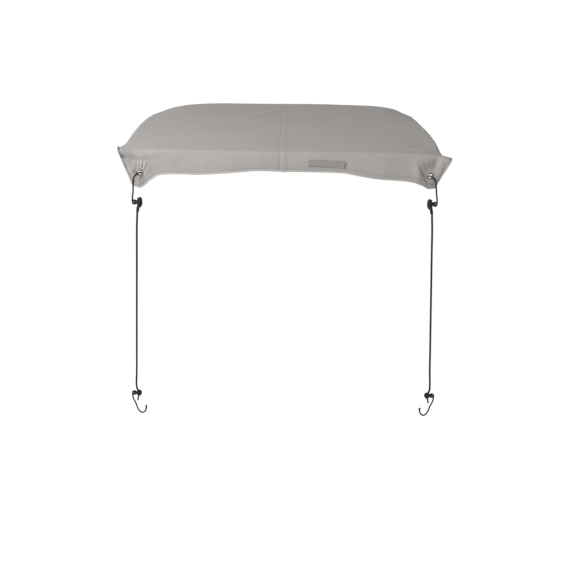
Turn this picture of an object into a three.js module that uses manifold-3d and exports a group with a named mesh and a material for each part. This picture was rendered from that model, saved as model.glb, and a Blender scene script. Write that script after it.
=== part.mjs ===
// Square cloth cover with hooked tie-downs.
// A coated-cloth top panel in two halves turns down into four short hemmed skirts. The corners are sewn
// square, so they stand out as ears. Each corner has an eyelet, and the two front ones carry an elastic
// tie-down: a wire hook, a knotted cord and a second hook at its foot.
// Millimetres, +Z up, front towards -Y. The origin is on the underside of the top, where it rests.
import * as THREE from "three";
import { mergeVertices } from "three/addons/utils/BufferGeometryUtils.js";
import Module from "manifold-3d";

const wasm = await Module();
wasm.setup();

// Driving dimensions of the cloth
const PANEL = 764; // top panel, from fold to fold
const FLAT = 280; // half the flat middle of the top
const CLOTH = 1.6;
const FOLD_RADIUS = 9; // where the top turns down
const EAR_RADIUS = 2.5; // the same fold, pinched at a sewn corner
const EAR_SHARE = 0.08; // the share of a side over which the fold tightens towards its ear
const HEM_WIDTH = 13;
const HEM_EXTRA = 0.9; // the hem's second layer
const SKIRT_BULGE = 2;
const SAG_POWER = 2; // how late the top starts to fall towards its edge
const SEAM_X = -4; // the centre seam
const GAP = 0.3; // between neighbouring pieces
const SECTIONS = 28; // sections along each side, closest at the corners

// Driving dimensions of the fittings
const EYELET_BORE = 5;
const EYELET_RADIUS = 8.3;
const EYELET_THICKNESS = 3.4;
const EYELET_BEVEL = 0.8;
const EYELET_CUT = 8.8; // radius of the hole that is cut for it
const EYELET_DOWN = 0.62; // its place down the skirt
const PATCH_WIDTH = 46; // the square of cloth round a rear eyelet
const LABEL_THICKNESS = 0.8;
const LABEL_LIFT = 0.5;
const WIRE_RADIUS = 1.7;
const TIP_RADIUS = 2.5; // the dipped end of a hook
const RING_RADIUS = 4.6; // the hook's eye, to the middle of its wire
const CORD_RADIUS = 2.5;
const LOOP_RADIUS = 2.2; // the cord squeezed where it passes the hook's eye
const KNOT_RADIUS = 5.6;
const UPPER_KNOT_HEIGHT = 12.5; // half of the knot's height
const LOWER_KNOT_HEIGHT = 8;
const KNOT_SIDE = 6.4; // how far beside the cord its knot sits
const RING_SIDE = 6; // how far beside the cord the hook's eye sits, the other way

// Where each sewn corner has its ear, at the level of the fold, and its foot, at the hem.
const corners = [
  { name: "front_left", ear: [-388, -393, 4], foot: [-354, -374, -86] },
  { name: "front_right", ear: [403, -392, -11], foot: [366, -373, -85] },
  { name: "back_right", ear: [386, 376, -46], foot: [368, 364, -128] },
  { name: "back_left", ear: [-388, 377, -46], foot: [-370, 365, -128] },
];

// Each side, between two corners. In a row: at is the share of the way along, out and rise are the fold's
// place beyond the panel's half and above the flat middle, and hemOut and drop are the same for the hem.
const sides = [
  {
    name: "front",
    corners: [0, 1],
    along: [1, 0],
    outward: [0, -1],
    rows: [
      { at: 0.026, out: 9, rise: 3, hemOut: -5, drop: -89 },
      { at: 0.054, out: 6, rise: 3, hemOut: -2, drop: -73 },
      { at: 0.086, out: 4, rise: 2.5, hemOut: 2, drop: -58 },
      { at: 0.15, out: 3, rise: 2, hemOut: 4, drop: -54.5 },
      { at: 0.215, out: 3, rise: 1.5, hemOut: 3, drop: -55.5 },
      { at: 0.31, out: 2, rise: 0.5, hemOut: 5, drop: -51 },
      { at: 0.405, out: 2, rise: 0, hemOut: 3, drop: -45 },
      { at: 0.49, out: 2, rise: 0, hemOut: 4, drop: -46 },
      { at: 0.69, out: 3, rise: 0, hemOut: 3, drop: -48 },
      { at: 0.74, out: 3, rise: 0, hemOut: 5, drop: -54 },
      { at: 0.81, out: 3, rise: 0, hemOut: 5, drop: -62 },
      { at: 0.87, out: 3, rise: 0, hemOut: 3, drop: -65 },
      { at: 0.925, out: 4, rise: -2, hemOut: 2, drop: -69.5 },
      { at: 0.955, out: 5, rise: -5, hemOut: -2, drop: -77 },
      { at: 0.978, out: 8, rise: -8, hemOut: -7, drop: -86 },
    ],
  },
  {
    name: "right",
    corners: [1, 2],
    along: [0, 1],
    outward: [1, 0],
    rows: [
      { at: 0.04, out: 9, rise: -14, hemOut: -15, drop: -88 },
      { at: 0.08, out: 4, rise: -10, hemOut: -9, drop: -76 },
      { at: 0.14, out: 0, rise: -3, hemOut: -2, drop: -62 },
      { at: 0.25, out: 0, rise: 0, hemOut: 2, drop: -57 },
      { at: 0.4, out: -4, rise: 0, hemOut: 0, drop: -52 },
      { at: 0.52, out: -9, rise: 0, hemOut: -3, drop: -54 },
      { at: 0.65, out: -10, rise: -6, hemOut: -5, drop: -58 },
      { at: 0.77, out: -10, rise: -13, hemOut: -4, drop: -66 },
      { at: 0.86, out: -7, rise: -21, hemOut: -6, drop: -78 },
      { at: 0.93, out: -2, rise: -31, hemOut: -10, drop: -106 },
    ],
  },
  {
    name: "back",
    corners: [2, 3],
    along: [-1, 0],
    outward: [0, 1],
    rows: [
      { at: 0.06, out: -6, rise: -18, hemOut: -12, drop: -104 },
      { at: 0.11, out: -8, rise: -8, hemOut: -6, drop: -76 },
      { at: 0.18, out: -9, rise: -3, hemOut: -2, drop: -60 },
      { at: 0.34, out: -9, rise: 0, hemOut: -4, drop: -54 },
      { at: 0.52, out: -9, rise: 0, hemOut: 0, drop: -50 },
      { at: 0.7, out: -9, rise: 0, hemOut: -3, drop: -53 },
      { at: 0.82, out: -9, rise: -3, hemOut: -1, drop: -61 },
      { at: 0.89, out: -8, rise: -9, hemOut: -6, drop: -78 },
      { at: 0.94, out: -6, rise: -20, hemOut: -12, drop: -105 },
    ],
  },
  {
    name: "left",
    corners: [3, 0],
    along: [0, -1],
    outward: [-1, 0],
    rows: [
      { at: 0.07, out: 3, rise: -32, hemOut: -9, drop: -108 },
      { at: 0.13, out: 0, rise: -24, hemOut: -6, drop: -84 },
      { at: 0.24, out: -4, rise: -12, hemOut: -3, drop: -66 },
      { at: 0.35, out: -5, rise: -4, hemOut: -1, drop: -58 },
      { at: 0.48, out: -2, rise: 0, hemOut: 2, drop: -52 },
      { at: 0.64, out: 1, rise: 0, hemOut: 3, drop: -55 },
      { at: 0.78, out: 1, rise: 0, hemOut: 2, drop: -54 },
      { at: 0.88, out: 1, rise: 0, hemOut: -8, drop: -62 },
      { at: 0.945, out: 3, rise: 3.5, hemOut: -18, drop: -80 },
    ],
  },
];

// Soft ridges and valleys of the skirts. at and down are the middle's share along and down the side,
// lean moves it along on its way down, and the spans say how far it reaches. height is out of the cloth.
const folds = [
  { side: "front", at: 0.034, down: 0.2, lean: 0.02, spanAt: 0.022, spanDown: 0.18, height: -4.5 },
  { side: "front", at: 0.062, down: 0.5, lean: 0, spanAt: 0.014, spanDown: 0.3, height: 2.5 },
  { side: "front", at: 0.955, down: 0.35, lean: 0, spanAt: 0.02, spanDown: 0.3, height: -5.5 },
  { side: "front", at: 0.928, down: 0.6, lean: 0.05, spanAt: 0.014, spanDown: 0.4, height: 3 },
  { side: "right", at: 0.05, down: 0.4, lean: 0, spanAt: 0.03, spanDown: 0.4, height: -5 },
  { side: "right", at: 0.11, down: 0.6, lean: -0.04, spanAt: 0.025, spanDown: 0.5, height: 4 },
  { side: "right", at: 0.9, down: 0.6, lean: 0.05, spanAt: 0.03, spanDown: 0.5, height: 4 },
  { side: "back", at: 0.1, down: 0.5, lean: -0.04, spanAt: 0.03, spanDown: 0.5, height: 4 },
  { side: "back", at: 0.9, down: 0.5, lean: 0.04, spanAt: 0.03, spanDown: 0.5, height: 4 },
  { side: "left", at: 0.1, down: 0.6, lean: -0.05, spanAt: 0.03, spanDown: 0.5, height: 4 },
  { side: "left", at: 0.95, down: 0.4, lean: 0, spanAt: 0.03, spanDown: 0.4, height: -5 },
];

// The label, by its ends: at is the share along the front skirt, top and bottom are shares down it.
const labelEnds = [
  { at: 0.574, top: 0.2, bottom: 0.62 },
  { at: 0.69, top: 0.3, bottom: 0.72 },
];

// The tie-downs. inward is the way from the hook to the cord along X. upper and lower are where the cord's
// knots are, beside the cord's own line.
const ties = [
  { name: "left", eyelet: 0, inward: 1, upper: [-346, -386, -124], lower: [-364, -352, -629] },
  { name: "right", eyelet: 1, inward: -1, upper: [362, -386, -122], lower: [381, -352, -629] },
];

// A hook's wire, from the point where it passes the eyelet: inward, back and up.
const upperWire = [
  [4, 15, -15],
  [3.5, 13, -6],
  [0.5, 6, -0.5],
  [-3, -4, -1],
  [-8, -9, -4],
  [-13, -10, -10],
  [-14.5, -9.5, -19],
];

// The end of the upper hook's wire, from the middle of its eye: inward, back and up.
const upperShank = [
  [-2.5, 0, 24],
  [-0.5, 0, RING_RADIUS],
];

// The cord's turn from a knot's side into its own straight line: inward and up, for each end.
const upperLead = [
  [5, -2],
  [2.5, -9],
  [0.5, -18],
  [0, -30],
];
const lowerLead = [
  [0, 26],
  [0.5, 16],
  [2.5, 8],
  [5, 2],
];

// Where the two legs of a knot's loop end inside the knot: inward, and to each side.
const LOOP_LEG = [4, 3.2];

// The lower hook's wire, from the middle of its eye: inward and up, in one upright plane.
const lowerWire = [
  [0, -RING_RADIUS],
  [1, -15],
  [3.6, -30],
  [7, -41],
  [12, -50],
  [19, -54.5],
  [26, -51],
  [29, -43.5],
  [29.5, -36],
];

const HALF = PANEL / 2;
const UP = new THREE.Vector3(0, 0, 1);

// A smooth curve through the rows of a table, read at one share of the way along: every column at once.
function readTable(rows, at) {
  const last = rows.length - 1;
  let i = 0;
  while (i < last - 1 && rows[i + 1].at < at) i += 1;
  const [a, b] = [rows[i], rows[i + 1]];
  const [before, after] = [rows[Math.max(i - 1, 0)], rows[Math.min(i + 2, last)]];
  const width = b.at - a.at;
  const t = (at - a.at) / width;
  const read = {};
  for (const key of ["out", "rise", "hemOut", "drop"]) {
    const slopeA = ((b[key] - before[key]) / (b.at - before.at)) * width;
    const slopeB = ((after[key] - a[key]) / (after.at - a.at)) * width;
    read[key] =
      a[key] * (1 + 2 * t) * (1 - t) ** 2 +
      slopeA * t * (1 - t) ** 2 +
      b[key] * (3 - 2 * t) * t ** 2 -
      slopeB * t ** 2 * (1 - t);
  }
  return read;
}

// A corner's ear and foot as a row of the table of one of its sides.
function cornerRow(side, corner, at) {
  const beyond = (p) => p[0] * side.outward[0] + p[1] * side.outward[1] - HALF;
  return {
    at,
    out: beyond(corner.ear),
    rise: corner.ear[2],
    hemOut: beyond(corner.foot),
    drop: corner.foot[2],
  };
}

for (const side of sides) {
  const [first, second] = side.corners.map((index) => corners[index]);
  side.rows = [cornerRow(side, first, 0), ...side.rows, cornerRow(side, second, 1)];
  side.ears = [first.ear, second.ear];
  side.feet = [first.foot, second.foot];
}

// A point of a side: its place along runs straight between the two ends, and it is out and up as given.
function sidePoint(side, ends, at, out, up) {
  const [start, stop] = ends.map((p) => p[0] * side.along[0] + p[1] * side.along[1]);
  const along = THREE.MathUtils.lerp(start, stop, at);
  return new THREE.Vector3(
    along * side.along[0] + (HALF + out) * side.outward[0],
    along * side.along[1] + (HALF + out) * side.outward[1],
    up,
  );
}

// The fold of the top, the hem and the flat middle's rim, all at one share along a side.
function sectionOf(side, at) {
  const read = readTable(side.rows, at);
  const flatEnds = [-1, 1].map((end) => [
    end * FLAT * side.along[0] + FLAT * side.outward[0],
    end * FLAT * side.along[1] + FLAT * side.outward[1],
  ]);
  const toEar = Math.min(1, Math.min(at, 1 - at) / EAR_SHARE);
  return {
    rim: sidePoint(side, flatEnds, at, FLAT - HALF, 0),
    fold: sidePoint(side, side.ears, at, read.out, read.rise),
    hem: sidePoint(side, side.feet, at, read.hemOut, read.drop),
    radius: THREE.MathUtils.lerp(EAR_RADIUS, FOLD_RADIUS, toEar),
  };
}

// How far the folds lift the cloth at one place of a skirt.
function foldLift(side, at, down) {
  let lift = SKIRT_BULGE * Math.sin(Math.PI * down) * Math.sin(Math.PI * at) ** 0.3;
  for (const fold of folds.filter((one) => one.side === side.name)) {
    const across = (at - fold.at - fold.lean * (down - fold.down)) / fold.spanAt;
    const lengthwise = (down - fold.down) / fold.spanDown;
    lift += fold.height * Math.exp(-(across ** 2) - lengthwise ** 2);
  }
  return lift;
}

// The top of a section: w is 0 at the flat middle's rim and 1 at the fold.
function topPoint(section, w) {
  const point = section.rim.clone().lerp(section.fold, w);
  point.z = section.fold.z * w ** SAG_POWER;
  return point;
}

// The skirt of a section: down is 0 under the fold's curve and 1 at the hem.
function skirtPoint(side, at, down) {
  const section = sectionOf(side, at);
  const drop = section.hem.clone().sub(section.fold);
  const start = section.fold.clone().addScaledVector(drop, section.radius / drop.length());
  const point = start.lerp(section.hem, down);
  const lift = foldLift(side, at, down);
  point.x += lift * side.outward[0];
  point.y += lift * side.outward[1];
  return point;
}

// The rows of points of one section on the cloth's inner face, from the flat middle to the hem.
const TOP_SHARES = [0, 0.4, 0.75];
const TURN_SHARES = [0, 0.25, 0.5, 0.75];
const SKIRT_SHARES = [0, 0.2, 0.42, 0.64];

function innerRows(side, at) {
  const section = sectionOf(side, at);
  const topLength = section.rim.distanceTo(section.fold);
  const turnStart = 1 - section.radius / topLength;
  const enter = topPoint(section, turnStart);
  const leave = skirtPoint(side, at, 0);
  const turn = new THREE.QuadraticBezierCurve3(enter, section.fold, leave);
  const skirtLength = leave.distanceTo(section.hem);
  const hemStart = 1 - HEM_WIDTH / skirtLength;
  const rows = TOP_SHARES.map((w) => ({ point: topPoint(section, w * turnStart), extra: 0 }));
  rows.push(...TURN_SHARES.map((t) => ({ point: turn.getPoint(t), extra: 0 })));
  rows.push(...SKIRT_SHARES.map((w) => ({ point: skirtPoint(side, at, w * hemStart), extra: 0 })));
  rows.push({ point: skirtPoint(side, at, hemStart), extra: 0 });
  rows.push({ point: skirtPoint(side, at, hemStart + 0.02), extra: HEM_EXTRA });
  rows.push({ point: skirtPoint(side, at, 1), extra: HEM_EXTRA });
  return rows;
}

// The whole cover as one closed shell: an inner and an outer face, joined round the hem.
function coverGeometry() {
  const stations = Array.from({ length: SECTIONS }, (_, k) => 0.5 - 0.5 * Math.cos((Math.PI * k) / SECTIONS));
  const sections = sides.flatMap((side) => stations.map((at) => innerRows(side, at)));
  const count = sections.length;
  const rowCount = sections[0].length;
  const inner = sections.map((rows) => rows.map((row) => row.point));
  const outer = sections.map((rows, s) =>
    rows.map((row, r) => {
      const next = inner[(s + 1) % count][r];
      const previous = inner[(s + count - 1) % count][r];
      const below = inner[s][Math.min(r + 1, rowCount - 1)];
      const above = inner[s][Math.max(r - 1, 0)];
      const normal = below.clone().sub(above).cross(next.clone().sub(previous)).normalize();
      return row.point.clone().addScaledVector(r === 0 ? UP : normal, CLOTH + row.extra);
    }),
  );
  const middles = [new THREE.Vector3(0, 0, CLOTH), new THREE.Vector3(0, 0, 0)];
  const points = [...middles, ...outer.flat(), ...inner.flat()];
  const outerAt = (s, r) => 2 + (s % count) * rowCount + r;
  const innerAt = (s, r) => outerAt(s, r) + count * rowCount;
  const faces = [];
  const quad = (a, b, c, d) => faces.push(a, b, c, a, c, d);
  for (let s = 0; s < count; s += 1) {
    faces.push(0, outerAt(s, 0), outerAt(s + 1, 0));
    faces.push(1, innerAt(s + 1, 0), innerAt(s, 0));
    for (let r = 0; r < rowCount - 1; r += 1) {
      quad(outerAt(s, r), outerAt(s, r + 1), outerAt(s + 1, r + 1), outerAt(s + 1, r));
      quad(innerAt(s, r), innerAt(s + 1, r), innerAt(s + 1, r + 1), innerAt(s, r + 1));
    }
    const bottom = rowCount - 1;
    quad(outerAt(s, bottom), innerAt(s, bottom), innerAt(s + 1, bottom), outerAt(s + 1, bottom));
  }
  return indexed(points, faces);
}

function indexed(points, faces) {
  const geometry = new THREE.BufferGeometry().setFromPoints(points);
  geometry.setIndex(faces);
  return geometry;
}

// Between three.js geometry and solids that can be joined and cut.
function solid(geometry) {
  const bare = geometry.clone();
  bare.deleteAttribute("normal");
  bare.deleteAttribute("uv");
  const merged = mergeVertices(bare, 1e-4);
  const mesh = new wasm.Mesh({
    numProp: 3,
    vertProperties: new Float32Array(merged.attributes.position.array),
    triVerts: new Uint32Array(merged.index.array),
  });
  return new wasm.Manifold(mesh);
}

function geometryOf(body) {
  const mesh = body.getMesh();
  const geometry = new THREE.BufferGeometry();
  geometry.setAttribute("position", new THREE.BufferAttribute(new Float32Array(mesh.vertProperties), 3));
  geometry.setIndex(new THREE.BufferAttribute(new Uint32Array(mesh.triVerts), 1));
  return geometry;
}

const joined = (bodies) => bodies.reduce((all, one) => all.add(one));

// A box between two corners.
function boxSolid(low, high) {
  const size = high.map((value, axis) => value - low[axis]);
  const box = new THREE.BoxGeometry(...size);
  box.translate(...high.map((value, axis) => (value + low[axis]) / 2));
  return solid(box);
}

// An eyelet's place on a skirt: its middle, in the cloth's thickness, and the way it faces.
const eyeletPlaces = [
  { corner: 0, side: sides[0], at: 0.038 },
  { corner: 1, side: sides[0], at: 0.965 },
  { corner: 2, side: sides[2], at: 0.036 },
  { corner: 3, side: sides[2], at: 0.964 },
].map(({ corner, side, at }) => {
  const step = 0.01;
  const along = skirtPoint(side, at + step, EYELET_DOWN).sub(skirtPoint(side, at - step, EYELET_DOWN));
  const down = skirtPoint(side, at, EYELET_DOWN + 0.1).sub(skirtPoint(side, at, EYELET_DOWN - 0.1));
  const normal = down.cross(along).normalize();
  const middle = skirtPoint(side, at, EYELET_DOWN).addScaledVector(normal, CLOTH / 2);
  return { name: corners[corner].name, middle, normal };
});

// Turns a shape made round +Z to face along a direction, at a place.
function placed(geometry, direction, middle) {
  geometry.applyQuaternion(new THREE.Quaternion().setFromUnitVectors(UP, direction));
  geometry.translate(middle.x, middle.y, middle.z);
  return geometry;
}

function eyeletGeometry(place) {
  const half = EYELET_THICKNESS / 2;
  const outline = [
    [EYELET_BORE, -half + EYELET_BEVEL],
    [EYELET_BORE + EYELET_BEVEL, -half],
    [EYELET_RADIUS - EYELET_BEVEL, -half],
    [EYELET_RADIUS, -half + EYELET_BEVEL],
    [EYELET_RADIUS, half - EYELET_BEVEL],
    [EYELET_RADIUS - EYELET_BEVEL, half],
    [EYELET_BORE + EYELET_BEVEL, half],
    [EYELET_BORE, half - EYELET_BEVEL],
    [EYELET_BORE, -half + EYELET_BEVEL],
  ].map(([r, z]) => new THREE.Vector2(r, z));
  const ring = new THREE.LatheGeometry(outline, 20);
  ring.rotateX(Math.PI / 2);
  return placed(ring, place.normal, place.middle);
}

function eyeletCut(place) {
  const cutter = new THREE.CylinderGeometry(EYELET_CUT, EYELET_CUT, 8 * CLOTH, 24);
  cutter.rotateX(Math.PI / 2);
  return solid(placed(cutter, place.normal, place.middle));
}

// A round bar along a smooth curve through points.
function bar(points, radius, sidesRound, steps) {
  const path = new THREE.CatmullRomCurve3(points.map((p) => new THREE.Vector3(...p)), false, "centripetal");
  const section = new THREE.Shape();
  section.absarc(0, 0, radius, 0, 2 * Math.PI);
  return new THREE.ExtrudeGeometry(section, { extrudePath: path, steps, curveSegments: sidesRound / 2 });
}

function ball(middle, radii) {
  const sphere = new THREE.SphereGeometry(1, 12, 7);
  sphere.scale(...radii);
  sphere.translate(...middle);
  return solid(sphere);
}

// A hook: its bent wire, a dipped tip and the closed eye that the cord is tied to.
function hookSolid(points, tip, eye) {
  const ring = new THREE.TorusGeometry(RING_RADIUS, WIRE_RADIUS, 8, 16);
  ring.rotateX(Math.PI / 2);
  ring.translate(...eye);
  return joined([
    solid(bar(points, WIRE_RADIUS, 8, 26)),
    ball(tip, [TIP_RADIUS, TIP_RADIUS, TIP_RADIUS]),
    solid(ring),
  ]);
}

const eyeOf = (tie, end) => [end[0] - RING_SIDE * tie.inward, end[1], end[2]];

// Points given as inward, back and up, set down from a base on one tie-down's side.
const fromBase = (tie, base, points) =>
  points.map(([inward, back, up]) => [base[0] + inward * tie.inward, base[1] + back, base[2] + up]);

function upperHook(tie) {
  const eye = eyeOf(tie, tie.upper);
  const wire = fromBase(tie, eyeletPlaces[tie.eyelet].middle.toArray(), upperWire);
  return hookSolid([...wire, ...fromBase(tie, eye, upperShank)], wire[0], eye);
}

function lowerHook(tie) {
  const eye = eyeOf(tie, tie.lower);
  const wire = fromBase(tie, eye, lowerWire.map(([inward, up]) => [inward, 0, up]));
  return hookSolid(wire, wire.at(-1), eye);
}

// A knot beside the cord, with the loop that passes through the hook's eye.
function knotSolid(tie, end, height) {
  const [x, y, z] = end;
  const reach = RING_SIDE - RING_RADIUS;
  const turn = Array.from({ length: 7 }, (_, k) => {
    const angle = Math.PI / 2 + (Math.PI * k) / 6;
    return [
      x + (RING_RADIUS * Math.cos(angle) - reach) * tie.inward,
      y + RING_RADIUS * Math.sin(angle),
      z,
    ];
  });
  const legs = [1, -1].map((way) => [x + LOOP_LEG[0] * tie.inward, y + LOOP_LEG[1] * way, z]);
  return joined([
    ball([x + KNOT_SIDE * tie.inward, y, z], [KNOT_RADIUS, KNOT_RADIUS, height]),
    solid(bar([legs[0], ...turn, legs[1]], LOOP_RADIUS, 8, 16)),
  ]);
}

// The elastic cord from knot to knot. It leaves each knot's side and turns into its own straight line.
function cordPoints(tie) {
  const lead = (end, points) => fromBase(tie, end, points.map(([inward, up]) => [inward, 0, up]));
  const straight = Array.from({ length: 7 }, (_, k) =>
    tie.upper.map((value, axis) => THREE.MathUtils.lerp(value, tie.lower[axis], (k + 1) / 8)),
  );
  return [...lead(tie.upper, upperLead), ...straight, ...lead(tie.lower, lowerLead)];
}

function cordSolid(tie) {
  return joined([
    solid(bar(cordPoints(tie), CORD_RADIUS, 8, 48)),
    knotSolid(tie, tie.upper, UPPER_KNOT_HEIGHT),
    knotSolid(tie, tie.lower, LOWER_KNOT_HEIGHT),
  ]);
}

// The label: a thin plate that follows the front skirt.
function labelGeometry() {
  const [start, stop] = labelEnds;
  const across = 14;
  const downSteps = 4;
  const front = sides[0];
  const layers = [LABEL_LIFT, LABEL_LIFT + LABEL_THICKNESS].map((lift) => {
    const layer = [];
    for (let i = 0; i <= across; i += 1) {
      const share = i / across;
      const at = THREE.MathUtils.lerp(start.at, stop.at, share);
      const top = THREE.MathUtils.lerp(start.top, stop.top, share);
      const bottom = THREE.MathUtils.lerp(start.bottom, stop.bottom, share);
      for (let j = 0; j <= downSteps; j += 1) {
        const point = skirtPoint(front, at, THREE.MathUtils.lerp(top, bottom, j / downSteps));
        point.y -= CLOTH + HEM_EXTRA + lift;
        layer.push(point);
      }
    }
    return layer;
  });
  const [back, face] = layers;
  const width = downSteps + 1;
  const behind = back.length;
  const points = [...face, ...back];
  const faces = [];
  const quad = (a, b, c, d) => faces.push(a, b, c, a, c, d);
  for (let i = 0; i < across; i += 1) {
    for (let j = 0; j < downSteps; j += 1) {
      const a = i * width + j;
      const [b, c, d] = [a + 1, a + width + 1, a + width];
      quad(a, b, c, d);
      quad(a + behind, d + behind, c + behind, b + behind);
    }
    const top = i * width;
    const bottom = top + downSteps;
    quad(top, top + width, top + width + behind, top + behind);
    quad(bottom, bottom + behind, bottom + width + behind, bottom + width);
  }
  for (let j = 0; j < downSteps; j += 1) {
    const far = across * width + j;
    quad(j, j + behind, j + 1 + behind, j + 1);
    quad(far, far + 1, far + 1 + behind, far + behind);
  }
  return indexed(points, faces);
}

// The cover is cut at its centre seam, and the cloth round each rear eyelet is a patch of its own.
const FAR = 600;
const cover = eyeletPlaces.reduce((body, place) => body.subtract(eyeletCut(place)), solid(coverGeometry()));
const rearPatches = eyeletPlaces.slice(2).map(({ name, middle }) => {
  const span = (reach) => [
    [middle.x - reach, middle.y - reach, middle.z - reach],
    [middle.x + reach, middle.y + reach, middle.z + reach],
  ];
  return {
    name,
    patch: boxSolid(...span(PATCH_WIDTH / 2)),
    room: boxSolid(...span(PATCH_WIDTH / 2 + GAP)),
  };
});
const panelCloth = rearPatches.reduce((body, { room }) => body.subtract(room), cover);
const leftHalf = boxSolid([-FAR, -FAR, -FAR], [SEAM_X - GAP / 2, FAR, FAR]);
const rightHalf = boxSolid([SEAM_X + GAP / 2, -FAR, -FAR], [FAR, FAR, FAR]);

const clothMaterial = new THREE.MeshStandardMaterial({ color: 0xa5a19e, roughness: 0.85, metalness: 0 });
const labelMaterial = new THREE.MeshStandardMaterial({ color: 0x8f8b88, roughness: 0.8, metalness: 0 });
const eyeletMaterial = new THREE.MeshStandardMaterial({ color: 0xc9cbcd, roughness: 0.3, metalness: 1 });
const hookMaterial = new THREE.MeshStandardMaterial({ color: 0x111113, roughness: 0.4, metalness: 0 });
const cordMaterial = new THREE.MeshStandardMaterial({ color: 0x0d0d0e, roughness: 0.9, metalness: 0 });

const part = new THREE.Group();

function addPiece(name, geometry, material) {
  const piece = new THREE.Mesh(geometry, material);
  piece.name = name;
  part.add(piece);
}

addPiece("left_panel", geometryOf(panelCloth.intersect(leftHalf)), clothMaterial);
addPiece("right_panel", geometryOf(panelCloth.intersect(rightHalf)), clothMaterial);
for (const { name, patch } of rearPatches) {
  addPiece(`${name}_patch`, geometryOf(cover.intersect(patch)), clothMaterial);
}
for (const place of eyeletPlaces) {
  addPiece(`${place.name}_eyelet`, eyeletGeometry(place), eyeletMaterial);
}
addPiece("label", labelGeometry(), labelMaterial);
for (const tie of ties) {
  addPiece(`${tie.name}_upper_hook`, geometryOf(upperHook(tie)), hookMaterial);
  addPiece(`${tie.name}_cord`, geometryOf(cordSolid(tie)), cordMaterial);
  addPiece(`${tie.name}_lower_hook`, geometryOf(lowerHook(tie)), hookMaterial);
}

export default part;
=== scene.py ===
# %% [markdown]
# # A cloth cover with hooked tie-downs
# The object is a fitted cover: two halves of coated polyester joined by a centre seam, a hem all round,
# four sewn corners that stand out as ears, a metal eyelet at each corner, a bare woven label and two
# elastic cords with wire hooks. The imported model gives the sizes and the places. This script gives each
# piece its finished shape and its material. Lengths in the tables are millimetres, and a mesh is in metres.

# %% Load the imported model
import math

import bmesh
import bpy
import numpy as np
from mathutils import Matrix, Vector, noise


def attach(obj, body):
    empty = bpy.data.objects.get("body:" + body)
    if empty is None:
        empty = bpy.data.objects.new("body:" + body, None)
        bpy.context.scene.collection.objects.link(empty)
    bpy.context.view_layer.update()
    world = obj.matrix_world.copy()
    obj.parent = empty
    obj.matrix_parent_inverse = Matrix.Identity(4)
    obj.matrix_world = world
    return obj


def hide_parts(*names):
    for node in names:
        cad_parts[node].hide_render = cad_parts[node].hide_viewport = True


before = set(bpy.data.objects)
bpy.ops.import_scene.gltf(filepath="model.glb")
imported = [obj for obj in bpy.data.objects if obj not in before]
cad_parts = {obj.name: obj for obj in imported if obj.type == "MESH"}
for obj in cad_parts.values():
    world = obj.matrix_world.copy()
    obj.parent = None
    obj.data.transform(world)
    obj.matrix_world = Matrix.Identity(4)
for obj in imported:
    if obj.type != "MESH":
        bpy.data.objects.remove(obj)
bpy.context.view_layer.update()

MM = 0.001

# %% [markdown]
# ## Camera
# The photograph was taken with a long lens, a little above the cover and in front of it. A lens is set in
# millimetres of a 36 mm sensor. Here it is worked out from the focal length in pixels of a square picture,
# which a fit to the object's straight edges gives. The slight roll is a turn about the camera's own axis.

# %% Camera
PICTURE_SIZE = 573
FOCAL_LENGTH_PX = 1200
SENSOR_WIDTH = 36
CAMERA_PLACE = (0.0144, -3.1895, 0.536)
CAMERA_PITCH = 17.2  # degrees down
CAMERA_ROLL = 0.6

camera_data = bpy.data.cameras.new("camera")
camera_data.sensor_width = SENSOR_WIDTH
camera_data.lens = SENSOR_WIDTH * FOCAL_LENGTH_PX / PICTURE_SIZE
camera = bpy.data.objects.new("camera", camera_data)
bpy.context.scene.collection.objects.link(camera)
tilt = Matrix.Rotation(math.radians(90 - CAMERA_PITCH), 4, "X")
roll = Matrix.Rotation(math.radians(CAMERA_ROLL), 4, "Z")
camera.matrix_world = Matrix.Translation(CAMERA_PLACE) @ tilt @ roll
bpy.context.scene.camera = camera
print("lens:", round(camera_data.lens, 2), "mm")

# %% [markdown]
# ## Helpers for meshes
# Most pieces here are rows of points that are joined by quads, so a few helpers do the common work. They
# make an object from points in millimetres, write its UV map, make its modifiers part of its mesh and finish
# it. A finished piece sits at the origin, rides on the model's body and stands for the plain solids that it
# replaces.


# %% Objects and UV maps
def new_object(name, points, faces):
    """An object of that name from points in millimetres and faces of point numbers."""
    mesh = bpy.data.meshes.new(name)
    mesh.from_pydata((np.asarray(points) * MM).tolist(), [], [tuple(face) for face in faces])
    mesh.update()
    mesh.shade_smooth()
    made = bpy.data.objects.new(name, mesh)
    bpy.context.scene.collection.objects.link(made)
    return made


def write_uv(obj, uv):
    """Gives the object a UV map, one pair for each corner of each face, in order."""
    layer = obj.data.uv_layers.new(name="UVMap")
    layer.data.foreach_set("uv", np.asarray(uv, float).ravel())


# %% Finishing a piece
def baked(obj):
    """The object with its modifiers made part of its mesh."""
    depsgraph = bpy.context.evaluated_depsgraph_get()
    mesh = bpy.data.meshes.new_from_object(obj.evaluated_get(depsgraph), depsgraph=depsgraph)
    obj.modifiers.clear()
    obj.data = mesh
    return obj


def triangles(obj):
    """How many triangles the object's mesh has."""
    obj.data.calc_loop_triangles()
    return len(obj.data.loop_triangles)


def finish_piece(obj, finish, nodes=(), sharp=None):
    """The last step of a piece: its material, sharp edges past that angle, body and solids."""
    if finish is not None:
        obj.data.materials.clear()
        obj.data.materials.append(finish)
    if sharp is not None:
        obj.data.set_sharp_from_angle(angle=math.radians(sharp))
    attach(obj, "root")
    if nodes:
        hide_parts(*nodes)
    print(f"{obj.name}: {triangles(obj)} triangles")
    return obj


# %% [markdown]
# ## Helpers for materials
# Each material is a small tree of nodes. A number that is the same all over goes straight on the shader's
# socket, and only what changes from place to place comes from nodes, such as a weave or a worn edge.


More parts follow.
